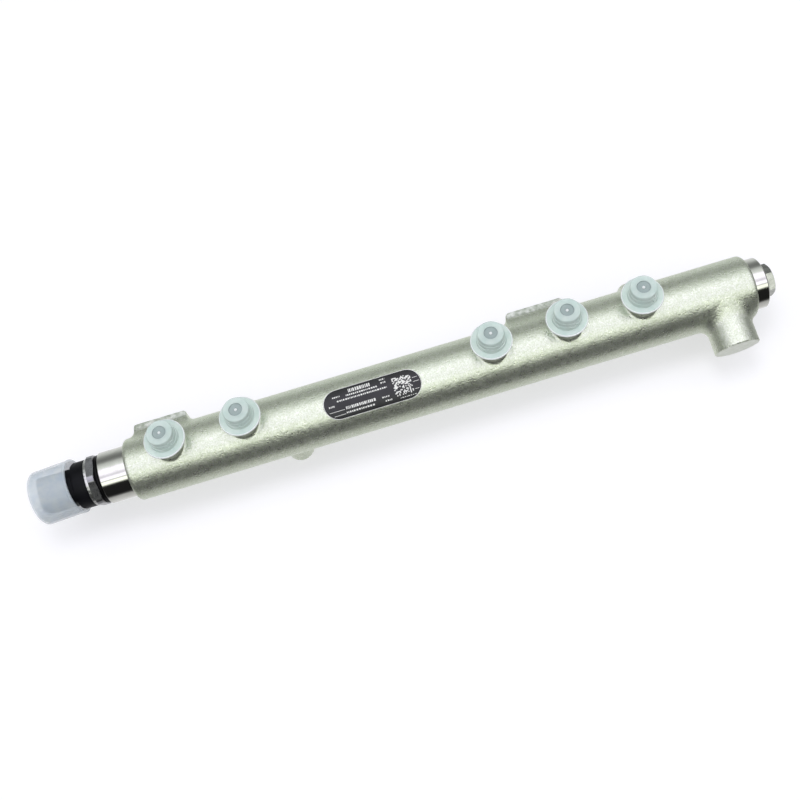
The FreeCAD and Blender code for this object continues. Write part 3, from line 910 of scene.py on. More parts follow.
def contoured(
    name: str,
    distance: Callable[[np.ndarray], np.ndarray],
    limits: tuple[Vector, Vector],
    cell: float,
) -> bpy.types.Mesh:
    """Mesh the surface where a distance is zero.

    One vertex goes into each cell that the surface crosses, quads join the cells round each
    crossed cell edge, and the vertices are then moved onto the surface.

    Args:
        name: Name of the mesh.
        distance: Signed distance, negative inside.
        limits: Corners of the space to search.
        cell: Size of a cell.

    Returns:
        A closed mesh of quads with its faces outwards.
    """
    low, high = np.array(limits[0]), np.array(limits[1])
    counts = np.ceil((high - low) / cell).astype(int) + 1
    axes = [low[axis] + cell * np.arange(counts[axis]) for axis in range(3)]
    values = distance(np.stack(np.meshgrid(*axes, indexing="ij"), axis=-1))
    inside = values < 0.0
    corners = [(a, b, c) for a in (0, 1) for b in (0, 1) for c in (0, 1)]
    shape = tuple(counts - 1)
    filled = np.zeros(shape, np.int8)
    for a, b, c in corners:
        filled += inside[a:a + shape[0], b:b + shape[1], c:c + shape[2]]
    cells = np.argwhere((filled > 0) & (filled < len(corners)))
    number = np.full(shape, -1, np.int64)
    number[tuple(cells.T)] = np.arange(len(cells))
    total = np.zeros((len(cells), 3))
    crossings = np.zeros(len(cells))
    for corner in corners:
        for axis in range(3):
            if corner[axis]:
                continue
            other = list(corner)
            other[axis] = 1
            near = values[tuple((cells + corner).T)]
            far = values[tuple((cells + other).T)]
            crossed = (near < 0.0) != (far < 0.0)
            share = np.where(crossed, near / np.where(crossed, near - far, 1.0), 0.0)
            point = np.array(corner, float) + share[:, None] * (np.array(other) - np.array(corner))
            total += point * crossed[:, None]
            crossings += crossed
    vertices = low + cell * (cells + total / crossings[:, None])
    for _ in range(SURFACE_PASSES):
        vertices -= surface_offset(distance, vertices, cell * SLOPE_PROBE)
    quads = []
    for axis in range(3):
        second, third = (axis + 1) % 3, (axis + 2) % 3
        ahead = np.roll(inside, -1, axis=axis)
        crossed = np.argwhere(inside != ahead)
        keep = (crossed[:, axis] < counts[axis] - 1) & (crossed[:, second] > 0) & (crossed[:, third] > 0)
        keep &= (crossed[:, second] < counts[second] - 1) & (crossed[:, third] < counts[third] - 1)
        crossed = crossed[keep]
        ring = []
        for back_second, back_third in ((1, 1), (0, 1), (0, 0), (1, 0)):
            neighbour = crossed.copy()
            neighbour[:, second] -= back_second
            neighbour[:, third] -= back_third
            ring.append(number[tuple(neighbour.T)])
        quad = np.stack(ring, axis=1)
        leaving = inside[tuple(crossed.T)]
        quads.append(np.where(leaving[:, None], quad, quad[:, ::-1]))
    mesh = bpy.data.meshes.new(name)
    mesh.from_pydata(vertices.tolist(), [], np.concatenate(quads).tolist())
    return mesh


def surface_offset(
    distance: Callable[[np.ndarray], np.ndarray], points: np.ndarray, probe: float
) -> np.ndarray:
    """Step from points to the surface, from the distance and its slope.

    Args:
        distance: Signed distance.
        points: Points near the surface.
        probe: Half the width over which the slope is measured.

    Returns:
        Vectors to take away from the points.
    """
    here = distance(points)
    slope = np.empty_like(points)
    for axis in range(3):
        shift = np.zeros(3)
        shift[axis] = probe
        slope[:, axis] = (distance(points + shift) - distance(points - shift)) / (2.0 * probe)
    size = np.maximum((slope ** 2).sum(axis=1), LEAST_SLOPE)
    return here[:, None] * slope / size[:, None]


@dataclass
class HelicalThread:
    """A screw thread swept along a helix by Geometry Nodes, outwards or into a hole."""

    radius: float
    pitch: float
    ridge: float
    steps_per_turn: int = 40

    def tree(self) -> bpy.types.NodeTree:
        """Build the node tree: a helix, a four-sided ridge swept along it, and its material."""
        tree = bpy.data.node_groups.new("helical_thread", "GeometryNodeTree")
        face = tree.interface
        for name in ("Radius", "Pitch", "Ridge", "Length"):
            face.new_socket(name=name, in_out="INPUT", socket_type="NodeSocketFloat")
        face.new_socket(name="Finish", in_out="INPUT", socket_type="NodeSocketMaterial")
        face.new_socket(name="Geometry", in_out="OUTPUT", socket_type="NodeSocketGeometry")
        given = add_node(tree, "NodeGroupInput").outputs
        turns = add_node(
            tree, "ShaderNodeMath", {"operation": "DIVIDE"}, {0: given["Length"], 1: given["Pitch"]}
        ).outputs[0]
        spiral = add_node(tree, "GeometryNodeCurveSpiral", inputs={
            "Resolution": self.steps_per_turn,
            "Rotations": turns,
            "Start Radius": given["Radius"],
            "End Radius": given["Radius"],
            "Height": given["Length"],
        }).outputs[0]
        upright = add_node(tree, "GeometryNodeSetCurveNormal", {"mode": "Z_UP"}, {"Curve": spiral}).outputs[0]
        ridge = add_node(tree, "GeometryNodeCurvePrimitiveCircle", inputs={
            "Resolution": 4,
            "Radius": given["Ridge"],
        }).outputs["Curve"]
        swept = add_node(tree, "GeometryNodeCurveToMesh", inputs={
            "Curve": upright,
            "Profile Curve": ridge,
            "Fill Caps": True,
        }).outputs[0]
        real = add_node(tree, "GeometryNodeRealizeInstances", inputs={"Geometry": swept}).outputs[0]
        dressed = add_node(tree, "GeometryNodeSetMaterial", inputs={
            "Geometry": real,
            "Material": given["Finish"],
        }).outputs[0]
        add_node(tree, "NodeGroupOutput", inputs={"Geometry": dressed})
        return tree

    def build(self, name: str, start: Vector, direction: Vector, length: float) -> bpy.types.Mesh:
        """Make the thread's ridge as a mesh in its place.

        Args:
            name: Name of the mesh.
            start: Point on the axis where the thread starts.
            direction: Direction of the axis.
            length: Length of the thread.

        Returns:
            The ridge's mesh.
        """
        values = {"Radius": self.radius, "Pitch": self.pitch, "Ridge": self.ridge, "Length": length}
        mesh = evaluated(self.tree(), values)
        mesh.name = name
        turn = direction.to_track_quat("Z", "Y").to_matrix().to_4x4()
        mesh.transform(Matrix.Translation(start) @ turn)
        return mesh


def evaluated(tree: bpy.types.NodeTree, values: dict[str, Any]) -> bpy.types.Mesh:
    """Run a Geometry Nodes tree on an empty mesh and keep the result as a plain mesh.

    Args:
        tree: The tree, with its inputs on its interface.
        values: Input name to value.

    Returns:
        The plain mesh.
    """
    carrier = bpy.data.objects.new("carrier", bpy.data.meshes.new("carrier"))
    bpy.context.scene.collection.objects.link(carrier)
    modifier = carrier.modifiers.new("nodes", "NODES")
    modifier.node_group = tree
    for item in tree.interface.items_tree:
        if item.in_out == "INPUT" and item.name in values:
            modifier[item.identifier] = values[item.name]
    bpy.context.view_layer.update()
    graph = bpy.context.evaluated_depsgraph_get()
    mesh = bpy.data.meshes.new_from_object(carrier.evaluated_get(graph))
    bpy.data.objects.remove(carrier)
    bpy.data.node_groups.remove(tree)
    return mesh


@dataclass
class Nipple:
    """Threaded outlet nipple with its sealing cone, on top of an outlet boss."""

    place: RailFrame
    finishes: Finishes
    x: float
    base: float
    thread_radius: float = 6.0 * MM
    thread_length: float = 6.2 * MM
    thread_lead: float = 1.6 * MM
    pitch: float = 1.5 * MM
    relief_radius: float = 5.15 * MM
    nose_radius: float = 5.1 * MM
    nose_length: float = 2.0 * MM
    length: float = 8.5 * MM
    sunk: float = 0.8 * MM
    cone_radius: float = 4.25 * MM
    bore_radius: float = 1.5 * MM
    bore_depth: float = 8.0 * MM
    cone_half_angle: float = 30.0

    def build(self, number: int) -> None:
        """Make the turned core and the thread's ridge.

        Args:
            number: Number of the outlet, from the sensor end.
        """
        cone_depth = (self.cone_radius - self.bore_radius) / math.tan(math.radians(self.cone_half_angle))
        outline = rounded_outline([
            (-self.sunk, 0.0, 0.0),
            (-self.sunk, self.relief_radius, 0.0),
            (self.length - self.nose_length, self.relief_radius, 0.0),
            (self.length - self.nose_length, self.nose_radius, 0.0),
            (self.length, self.nose_radius, 0.25 * MM),
            (self.length, self.cone_radius, 0.1 * MM),
            (self.length - cone_depth, self.bore_radius, 0.2 * MM),
            (self.length - self.bore_depth, self.bore_radius, 0.0),
            (self.length - self.bore_depth, 0.0, 0.0),
        ])
        start = self.place.centre(self.x) + Vector((0.0, 0.0, self.base))
        up = Vector((0.0, 0.0, 1.0))
        core = lathe(f"outlet_nipple_{number}", outline, start, up, steps=64)
        finished(core, f"outlet_nipple_{number}", self.finishes.turned)
        self.shade_cone(core, start)
        ridge = self.thread_radius - self.relief_radius
        thread = HelicalThread(radius=self.relief_radius, pitch=self.pitch, ridge=ridge)
        name = f"outlet_thread_{number}"
        length = self.thread_length - self.thread_lead
        mesh = thread.build(name, start + up * self.thread_lead, up, length)
        finished(mesh, name, self.finishes.turned)

    def shade_cone(self, core: bpy.types.Mesh, start: Vector) -> None:
        """Give the sealing cone and the bore the darker steel that paints the shade inside them.

        Args:
            core: The nipple's turned core, with the turned finish only.
            start: Point on the nipple's axis where it leaves the boss.
        """
        core.materials.append(self.finishes.oiled)
        for polygon in core.polygons:
            place = polygon.center - start
            # faces inside the cone and the bore take the darker steel, a painted shade
            if math.hypot(place.x, place.y) < self.cone_radius and place.z > 0.0:
                polygon.material_index = 1


@dataclass
class OutletCap:
    """Press-on cap of an outlet: flange, stepped barrel, dimple with a gate mark and one rib."""

    place: RailFrame
    finishes: Finishes
    number: int
    rib_turn: float
    flange_radius: float = 11.4 * MM
    flange_round: float = 0.55 * MM
    flange: float = 1.2 * MM
    base_radius: float = 8.0 * MM
    base_height: float = 2.6 * MM
    waist_radius: float = 7.5 * MM
    waist_height: float = 5.4 * MM
    top_radius: float = 7.1 * MM
    top_round: float = 0.6 * MM
    inner_radius: float = 6.15 * MM
    nose_radius: float = 5.25 * MM
    shoulder: float = 6.35 * MM
    roof: float = 1.1 * MM
    dimple_radius: float = 3.7 * MM
    dimple_depth: float = 0.6 * MM
    gate_radius: float = 0.8 * MM
    gate_taper: float = 0.8
    gate_height: float = 0.4 * MM
    soft: float = 0.25 * MM
    draft: float = 0.1 * MM
    dimple_draft: float = 0.3 * MM
    rib_sunk: float = 0.3 * MM
    rib_width: float = 1.0 * MM
    rib_height: float = 1.1 * MM
    rib_lift: float = 0.45 * MM
    rib_round: float = 0.2 * MM

    def build(self) -> None:
        """Make the cap and its rib in the place of its CAD node."""
        low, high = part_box(f"port_cap_{self.number}")
        centre = Vector(((low.x + high.x) / 2.0, (low.y + high.y) / 2.0, low.z))
        height = high.z - low.z
        top = height - self.dimple_depth
        outline = rounded_outline([
            (0.0, self.inner_radius, 0.0),
            (0.0, self.flange_radius, self.flange_round),
            (self.flange, self.flange_radius, self.flange_round),
            (self.flange, self.base_radius, self.soft),
            (self.flange + self.base_height, self.base_radius - self.draft, self.soft),
            (self.flange + self.base_height, self.waist_radius, self.soft),
            (self.flange + self.waist_height, self.waist_radius - self.draft, self.soft),
            (self.flange + self.waist_height, self.top_radius, self.soft),
            (height, self.top_radius, self.top_round),
            (height, self.dimple_radius, self.soft),
            (top, self.dimple_radius - self.dimple_draft, self.soft),
            (top, self.gate_radius, self.soft),
            (top + self.gate_height, self.gate_radius * self.gate_taper, self.soft),
            (top + self.gate_height, 0.0, 0.0),
            (height - self.roof, 0.0, 0.0),
            (height - self.roof, self.nose_radius, self.soft),
            (self.shoulder + self.inner_radius - self.nose_radius, self.nose_radius, 0.0),
            (self.shoulder, self.inner_radius, 0.0),
        ])
        name = f"outlet_cap_{self.number}"
        mesh = lathe(name, outline, centre, Vector((0.0, 0.0, 1.0)))
        piece = finished(mesh, name, self.finishes.cap)
        self.dress_rim_highlight(mesh, centre, height)
        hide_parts(f"port_cap_{self.number}")
        self.build_rib(centre)

    def dress_rim_highlight(self, mesh: bpy.types.Mesh, centre: Vector, height: float) -> None:
        """Give the rim and the gate mark the whiter, denser finish that paints their highlight, and the thin
        roof the clearer one.

        Args:
            mesh: The cap's mesh, with the finish of its wall.
            centre: Middle of the cap's underside.
            height: The cap's height.
        """
        mesh.materials.append(self.finishes.thin_cap)
        mesh.materials.append(self.finishes.cap_rim)
        for polygon in mesh.polygons:
            place = polygon.center - centre
            reach = math.hypot(place.x, place.y)
            in_roof = place.z > height / 2.0
            # the rim and the gate mark take the painted highlight
            if reach > self.flange_radius - self.flange_round or (in_roof and reach < self.gate_radius):
                polygon.material_index = 2
            elif in_roof and reach < self.dimple_radius:
                polygon.material_index = 1

    def build_rib(self, centre: Vector) -> None:
        """Make the small moulded rib on the side of the barrel.

        Args:
            centre: Middle of the cap's underside.
        """
        depth = self.base_radius - self.waist_radius + self.rib_sunk
        size = Vector((depth, self.rib_width, self.rib_height))
        middle = Vector((self.waist_radius, 0.0, self.flange + self.base_height + self.rib_lift))
        mesh = softened_block(f"cap_rib_{self.number}", size, self.rib_round)
        mesh.transform(Matrix.Translation(middle))
        mesh.transform(Matrix.Rotation(math.radians(self.rib_turn), 4, "Z"))
        mesh.transform(Matrix.Translation(centre))
        finished(mesh, f"cap_rib_{self.number}", self.finishes.cap)


def softened_block(name: str, size: Vector, rounding: float) -> bpy.types.Mesh:
    """Make a block round the origin with rounded edges.

    Args:
        name: Name of the mesh.
        size: Full lengths of its sides.
        rounding: Radius of its edges.

    Returns:
        The mesh.
    """
    work = bmesh.new()
    bmesh.ops.create_cube(work, size=1.0, matrix=Matrix.Diagonal((*size, 1.0)))
    bmesh.ops.bevel(work, geom=work.edges[:], offset=rounding, segments=3, profile=0.5, affect="EDGES")
    mesh = bpy.data.meshes.new(name)
    work.to_mesh(mesh)
    work.free()
    return mesh


@dataclass
class PressureSensor:
    """The pressure sensor at the rail's end, from its seal ring to its protective cap."""

    place: RailFrame
    finishes: Finishes
    dents: int = 34
    dent_depth: float = 0.14 * MM
    dent_rise: float = 1.6
    crimp_wall: float = 1.3 * MM
    crimp_edge: float = 0.15 * MM
    crimp_round: float = 0.7 * MM
    cap_wall: float = 1.0 * MM
    cap_radius: float = 15.3 * MM
    cap_bead: float = 0.25 * MM
    cap_bead_length: float = 1.2 * MM
    cap_length: float = 22.8 * MM
    cap_round: float = 1.8 * MM
    cap_inner_round: float = 0.9 * MM
    cap_edge: float = 0.2 * MM
    cap_mouth: float = 15.7 * MM
    cap_droop: float = 6.0

    def build(self) -> None:
        """Make or dress every piece of the sensor."""
        finishes = self.finishes
        copied("sensor_body", "sensor_hexagon", finishes.sensor)
        copied("sensor_seal_ring", "seal_ring", finishes.rubber)
        copied("sensor_connector", "sensor_housing", finishes.housing)
        copied("sensor_measuring_cell", "measuring_cell", finishes.turned)
        copied("sensor_board_spacer", "board_spacer", finishes.spacer)
        copied("sensor_circuit_board", "round_circuit_board", finishes.board)
        copied("sensor_gasket", "housing_gasket", finishes.rubber)
        for number in (1, 2, 3):
            copied(f"sensor_pin_{number}", f"contact_pin_{number}", finishes.pin)
        self.build_crimp_ring()
        self.build_cap()

    def build_crimp_ring(self) -> None:
        """Make the rolled ring with the dents that its crimping tool left."""
        low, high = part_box("sensor_crimp_ring")
        radius = (high.y - low.y) / 2.0
        length = high.x - low.x
        inner = radius - self.crimp_wall
        outline = rounded_outline([
            (0.0, inner, 0.0),
            (0.0, radius, self.crimp_edge),
            (length, radius, self.crimp_round),
            (length, inner, 0.0),
        ], steps=8)

        def dented(along: float, reach: float, angle: float) -> float:
            """Pull the outer front edge in at each dent."""
            if reach < inner + 2.0 * NEAR:
                return reach
            wave = max(0.0, math.cos(self.dents * angle)) ** 2
            return reach - self.dent_depth * wave * min(1.0, along / length * self.dent_rise)

        away = Vector((-1.0, 0.0, 0.0))
        start = self.place.centre(high.x)
        mesh = lathe("crimp_ring", outline, start, away, steps=self.dents * 8, shape=dented)
        piece = finished(mesh, "crimp_ring", self.finishes.rolled)
        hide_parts("sensor_crimp_ring")

    def build_cap(self) -> None:
        """Make the thin protective cap, closed at its outer end, which hangs a little askew."""
        mouth_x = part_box("rail_body")[0].x - self.cap_mouth
        pivot = self.place.centre((mouth_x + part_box("sensor_connector")[0].x) / 2.0)
        radius = self.cap_radius
        inner = radius - self.cap_wall
        proud = radius + self.cap_bead
        outline = rounded_outline([
            (0.0, inner, self.cap_edge),
            (0.0, proud, self.cap_edge),
            (self.cap_bead_length, proud, self.cap_edge),
            (self.cap_bead_length + self.cap_bead, radius, self.cap_edge),
            (self.cap_length, radius, self.cap_round),
            (self.cap_length, 0.0, 0.0),
            (self.cap_length - self.cap_wall, 0.0, 0.0),
            (self.cap_length - self.cap_wall, inner, self.cap_inner_round),
            (NEAR, inner, 0.0),
        ])
        away = Vector((-1.0, 0.0, 0.0))
        mesh = lathe("protective_cap", outline, self.place.centre(mouth_x), away, steps=128)
        droop = Matrix.Rotation(math.radians(-self.cap_droop), 4, "Y")
        mesh.transform(Matrix.Translation(pivot) @ droop @ Matrix.Translation(-pivot))
        piece = finished(mesh, "protective_cap", self.finishes.sensor_cap)
        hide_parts("sensor_cap")


PRINT_ROWS = (
    # start, end, middle and height of each row, in millimetres from the label's middle
    (-21.5, -17.0, 4.0, 0.7),
    (-12.2, 0.0, 5.7, 2.0),
    (-14.0, 3.8, 3.4, 0.8),
    (-19.5, 8.5, 1.5, 0.8),
    (-24.5, -21.5, -0.6, 0.9),
    (-15.7, 1.0, -3.1, 1.5),
    (-16.0, 0.0, -5.6, 0.9),
    (5.5, 8.5, 6.4, 0.8),
    (5.8, 8.5, 4.5, 0.9),
    (4.5, 8.5, -3.4, 0.7),
    (5.8, 9.5, -5.6, 0.8),
    (14.0, 23.0, -6.4, 0.4),
)
PRINT_RULES = (
    # start, end and middle of each thin rule, in the same way
    (-25.0, -16.5, -3.6),
    (-23.0, -16.5, -6.0),
    (22.9, 25.6, 2.4),
    (22.9, 26.2, 0.2),
    (22.9, 25.2, -3.8),
)


@dataclass
class DataLabel:
    """Dark label wrapped on the tube, with a light outline and generic marks in place of print."""

    place: RailFrame
    finishes: Finishes
    radius: float = 17.6 * MM
    turn: float = 19.0
    thickness: float = 0.25 * MM
    mark_lift: float = 0.012 * MM
    mark_step: float = 0.5 * MM
    length: float = 54.8 * MM
    width: float = 16.4 * MM
    strip_inset: float = 0.1 * MM
    strip_width: float = 0.3 * MM
    strip_steps: int = 24
    bar_widths: tuple[float, float] = (0.35, 1.1)
    bar_gaps: tuple[float, float] = (0.25, 0.5)
    rule_height: float = 0.25
    seed: int = 7
    block_cells: int = 16
    block_blanks: float = 0.52
    block_size: float = 10.2 * MM
    block_centre: float = 17.0 * MM
    centre_x: float = field(init=False)

    def __post_init__(self) -> None:
        """Read the label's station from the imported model."""
        low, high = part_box("data_label")
        self.centre_x = (low.x + high.x) / 2.0

    def build(self) -> None:
        """Dress the label and lay its marks on it."""
        copied("data_label", "label_plate", self.finishes.label)
        self.wrap("label_marks", self.outline_strip() + self.rows() + self.blocks())

    def outline_strip(self) -> list[Flat]:
        """Thin strip just inside the label's edge."""
        half_width = self.radius * math.asin(self.width / 2.0 / self.radius) - self.strip_inset
        straight = (self.length - self.width) / 2.0
        end = self.width / 2.0 - self.strip_inset
        ring = []
        for side in (1.0, -1.0):
            for step in range(self.strip_steps + 1):
                angle = math.pi * step / self.strip_steps - math.pi / 2.0
                ring.append((side * (straight + end * math.cos(angle)), side * half_width * math.sin(angle)))

        def inner(along: float, across: float) -> tuple[float, float]:
            """Point of the outline moved in by the strip's width."""
            if abs(along) > straight:
                along -= math.copysign(self.strip_width, along)
            return along, across * (1.0 - self.strip_width / (self.width / 2.0))

        return [
            [here, there, inner(*there), inner(*here)] for here, there in zip(ring, ring[1:] + ring[:1])
        ]

    def rows(self) -> list[Flat]:
        """Rows of short bars that stand for print, and a few thin rules."""
        source = random.Random(self.seed)
        bars = []
        for start, end, middle, height in PRINT_ROWS:
            at = start
            while at < end:
                wide = source.uniform(*self.bar_widths)
                bars.append(self.rectangle(at, min(at + wide, end), middle, height))
                at += wide + source.uniform(*self.bar_gaps)
        for start, end, middle in PRINT_RULES:
            bars.append(self.rectangle(start, end, middle, self.rule_height))
        return bars

    def rectangle(self, start: float, end: float, middle: float, height: float) -> Flat:
        """Flat rectangle from millimetres along and across the label."""
        low, high = (middle - height / 2.0) * MM, (middle + height / 2.0) * MM
        return [(start * MM, low), (end * MM, low), (end * MM, high), (start * MM, high)]

    def blocks(self) -> list[Flat]:
        """Square field of small blocks in a random pattern that holds no code."""
        source = random.Random(self.seed + 1)
        step = self.block_size / self.block_cells
        squares = []
        for row in range(self.block_cells):
            for column in range(self.block_cells):
                if source.random() < self.block_blanks:
                    continue
                x = self.block_centre + (column - self.block_cells / 2.0) * step
                y = (row - self.block_cells / 2.0) * step
                squares.append([(x, y), (x + step, y), (x + step, y + step), (x, y + step)])
        return squares

    def wrap(self, name: str, shapes: list[Flat]) -> None:
        """Lay flat shapes on the label, each cut into short steps round the tube.

        Args:
            name: Name of the piece.
            shapes: Four-cornered shapes as distance along and across the label.
        """
        lift = self.radius + self.thickness + self.mark_lift
        vertices: list[tuple[float, float, float]] = []
        faces: list[list[int]] = []
        for low_start, low_end, high_end, high_start in shapes:
            steps = max(1, math.ceil(abs(high_start[1] - low_start[1]) / self.mark_step))
            first = len(vertices)
            for step in range(steps + 1):
                share = step / steps
                for low, high in ((low_start, high_start), (low_end, high_end)):
                    along = low[0] + (high[0] - low[0]) * share
                    across = low[1] + (high[1] - low[1]) * share
                    angle = math.radians(self.turn) - across / self.radius
                    vertices.append((
                        self.centre_x + along,
                        self.place.axis_y - lift * math.sin(angle),
                        self.place.axis_z + lift * math.cos(angle),
                    ))
            for corner in range(first, first + 2 * steps, 2):
                faces.append([corner, corner + 1, corner + 3, corner + 2])
        mesh = bpy.data.meshes.new(name)
        mesh.from_pydata(vertices, [], faces)
        finished(mesh, name, self.finishes.print)


@dataclass
class EndPlug:
    """The screwed plug in the rail's other end."""

    finishes: Finishes

    def build(self) -> None:
        """Dress the plug."""
        copied("end_plug", "hexagon_plug", self.finishes.plug)


@dataclass
class Studio:
    """Camera, lamp, pale floor and surroundings.

    The surroundings are a soft box over the rail with a dark front and back. `levels` gives their
    light by the angle about the rail, in degrees from +Z towards -Y, as the turned land at the
    sensor's end mirrors it in the photograph. `tints` gives their colour up to each angle, and
    they grow dim towards both ends of the rail.
    """

    place: RailFrame
    frame_size: int = 800
    focal_pixels: float = 1070.0
    distance: float = 593.0 * MM
    elevation: float = 64.5
    roll: float = 16.7
    target_x: float = 21.0 * MM
    axis_above_centre: float = 5.3 * MM
    sensor_width: float = 36.0
    floor_colour: str = "#C2C2C4"
    floor_half: float = 4.0
    floor_drop: float = 0.3 * MM
    floor_glow: float = 0.51
    tints: tuple[tuple[float, tuple[float, float, float]], ...] = (
        (-110.0, (0.99, 1.0, 1.02)),
        (-18.0, (0.95, 1.0, 1.0)),
        (38.0, (1.02, 1.0, 1.14)),
        (64.0, (0.96, 1.0, 0.92)),
        (180.0, (0.99, 1.0, 1.02)),
    )
    levels: tuple[tuple[float, float], ...] = (
        (-180.0, 0.80),
        (-156.0, 0.88),
        (-131.0, 0.82),
        (-105.0, 0.70),
        (-91.0, 0.52),
        (-80.0, 0.33),
        (-70.0, 0.23),
        (-60.0, 0.20),
        (-50.0, 0.28),
        (-43.0, 0.50),
        (-36.0, 0.68),
        (-28.0, 0.82),
        (-21.0, 0.98),
        (-14.0, 1.32),
        (-6.0, 1.50),
        (5.0, 1.42),
        (13.0, 1.04),
        (18.0, 0.84),
        (22.0, 1.14),
        (27.0, 1.42),
        (34.0, 1.50),
        (38.5, 0.50),
        (42.0, 1.56),
        (52.5, 1.50),
        (56.0, 0.60),
        (60.0, 0.04),
        (67.0, 0.015),
        (112.0, 0.015),
        (120.0, 0.08),
        (130.0, 0.48),
        (150.0, 0.62),
        (180.0, 0.80),
    )
    end_starts: float = 0.45
    end_full: float = 0.95
    end_level: float = 0.30
    lamp_height: float = 1.0
    lamp_size: float = 0.3
    lamp_power: float = 2.0

    def build(self) -> None:
        """Make everything that isn't part of the object."""
        scene = bpy.context.scene
        scene.view_settings.view_transform = "Standard"
        self.build_camera()
        self.build_floor()
        self.build_world()
        self.build_lamps()

    def build_camera(self) -> None:
        """Look down on the rail as the photograph does."""
        tilt = math.radians(90.0 - self.elevation)
        back = Vector((0.0, -math.sin(tilt), math.cos(tilt)))
        up = Vector((0.0, math.cos(tilt), math.sin(tilt)))
        right = Vector((1.0, 0.0, 0.0))
        roll = math.radians(self.roll)
        rolled_right = right * math.cos(roll) - up * math.sin(roll)
        rolled_up = right * math.sin(roll) + up * math.cos(roll)
        target = self.place.centre(self.target_x) - up * self.axis_above_centre
        data = bpy.data.cameras.new("camera")
        data.sensor_width = self.sensor_width
        data.lens = self.focal_pixels / self.frame_size * self.sensor_width
        data.clip_start = 0.01
        camera = bpy.data.objects.new("camera", data)
        turn = Matrix((rolled_right, rolled_up, back)).transposed().to_4x4()
        camera.matrix_world = Matrix.Translation(target + back * self.distance) @ turn
        bpy.context.scene.collection.objects.link(camera)
        bpy.context.scene.camera = camera

    def build_floor(self) -> None:
        """Lay a pale floor that keeps the object's soft shadow."""
        low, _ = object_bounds()
        height = low.z - self.floor_drop
        mesh = bpy.data.meshes.new("floor")
        half = self.floor_half
        corners = [(-half, -half, height), (half, -half, height), (half, half, height), (-half, half, height)]
        mesh.from_pydata(corners, [], [(0, 1, 2, 3)])
        floor = bpy.data.objects.new("floor", mesh)
        bpy.context.scene.collection.objects.link(floor)
        material = bpy.data.materials.new("pale_floor")
        material.use_nodes = True
        tree = material.node_tree
        tree.nodes.clear()
        diffuse = add_node(tree, "ShaderNodeBsdfDiffuse", inputs={"Color": linear(self.floor_colour)})
        seen = add_node(tree, "ShaderNodeLightPath").outputs["Is Camera Ray"]
        strength = add_node(tree, "ShaderNodeMath", {"operation": "MULTIPLY"}, {0: seen, 1: self.floor_glow})
        glow = add_node(tree, "ShaderNodeEmission", inputs={
            "Color": (1.0, 1.0, 1.0, 1.0),
            "Strength": strength.outputs[0],
        })
        both = add_node(tree, "ShaderNodeAddShader", inputs={0: diffuse.outputs[0], 1: glow.outputs[0]})
        add_node(tree, "ShaderNodeOutputMaterial", inputs={"Surface": both.outputs[0]})
        mesh.materials.append(material)
        floor.visible_glossy = False
        floor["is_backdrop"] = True

    def build_world(self) -> None:
        """Surround the rail with a studio: bright above, dim at the front and back, pale below."""
        world = bpy.data.worlds.new("studio")
        bpy.context.scene.world = world
        world.use_nodes = True
        tree = world.node_tree
        tree.nodes.clear()
        way = add_node(tree, "ShaderNodeTexCoord").outputs["Generated"]
        parts = add_node(tree, "ShaderNodeSeparateXYZ", inputs={0: way}).outputs
        front = add_node(tree, "ShaderNodeMath", {"operation": "MULTIPLY"}, {0: parts["Y"], 1: -1.0})
        angle = add_node(tree, "ShaderNodeMath", {"operation": "ARCTAN2"}, {
            0: front.outputs[0],
            1: parts["Z"],
        })
        share = add_node(tree, "ShaderNodeMapRange", inputs={
            "Value": angle.outputs[0],
            "From Min": -math.pi,
            "From Max": math.pi,
        })
        tones = add_node(tree, "ShaderNodeValToRGB", inputs={"Fac": share.outputs["Result"]})
        ramp(tones, [(self.turn_share(turn), self.tinted(turn, level)) for turn, level in self.levels])
        path = add_node(tree, "ShaderNodeLightPath").outputs
        direct = add_node(tree, "ShaderNodeMath", {"operation": "MAXIMUM"}, {
            0: path["Is Camera Ray"],
            1: path["Is Transmission Ray"],
        })
        colour = add_node(tree, "ShaderNodeMix", {"data_type": "RGBA"}, {
            0: direct.outputs[0],
            6: tones.outputs["Color"],
            7: (1.0, 1.0, 1.0, 1.0),
        })
        sideways = add_node(tree, "ShaderNodeMath", {"operation": "ABSOLUTE"}, {0: parts["X"]})
        ends = add_node(tree, "ShaderNodeMapRange", inputs={
            "Value": sideways.outputs[0],
            "From Min": self.end_starts,
            "From Max": self.end_full,
            "To Min": 1.0,
            "To Max": self.end_level,
        })
        strength = add_node(tree, "ShaderNodeMath", {"operation": "MAXIMUM"}, {
            0: ends.outputs["Result"],
            1: direct.outputs[0],
        })
        background = add_node(tree, "ShaderNodeBackground", inputs={
            "Color": colour.outputs[2],
            "Strength": strength.outputs[0],
        })
        add_node(tree, "ShaderNodeOutputWorld", inputs={"Surface": background.outputs[0]})

    def tinted(self, turn: float, level: float) -> tuple[float, float, float, float]:
        """Colour of the surroundings: cool from the soft box overhead, nearly neutral elsewhere."""
        tint = next(tint for limit, tint in self.tints if turn <= limit)
        return level * tint[0], level * tint[1], level * tint[2], 1.0

    @staticmethod
    def turn_share(turn: float) -> float:
        """Place on the ramp of a direction turned from +Z towards -Y by degrees."""
        return (turn + 180.0) / 360.0

    def build_lamps(self) -> None:
        """Hang a soft lamp right above the rail, which keeps the shadow close to it."""
        data = bpy.data.lights.new("soft_lamp", "AREA")
        data.shape = "SQUARE"
        data.size = self.lamp_size
        data.energy = self.lamp_power
        lamp = bpy.data.objects.new("soft_lamp", data)
        lamp.visible_glossy = False
        lamp.location = self.place.centre(self.target_x) + Vector((0.0, 0.0, self.lamp_height))
        bpy.context.scene.collection.objects.link(lamp)


RIB_TURNS = (-60.0, -95.0, -120.0, -65.0, -62.0)  # each cap sits on its nipple as it was pressed on


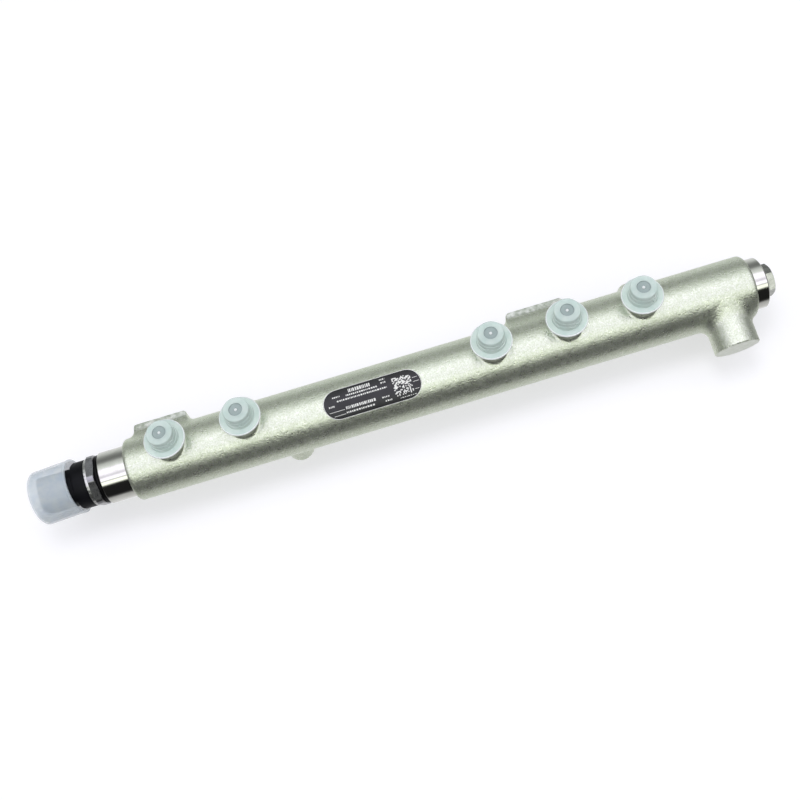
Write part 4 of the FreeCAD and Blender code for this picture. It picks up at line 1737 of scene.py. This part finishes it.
def main() -> None:
    """Build every sub-assembly in order, then the studio round it."""
    logging.basicConfig(level=logging.INFO, format="%(name)s: %(message)s")
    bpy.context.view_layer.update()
    place = RailFrame.read()
    finishes = Finishes.build()
    ForgedRail(place, finishes).build()
    for number, turn in enumerate(RIB_TURNS, start=1):
        OutletCap(place, finishes, number, turn).build()
    PressureSensor(place, finishes).build()
    DataLabel(place, finishes).build()
    EndPlug(finishes).build()
    Studio(place).build()


if __name__ == "__main__":
    main()
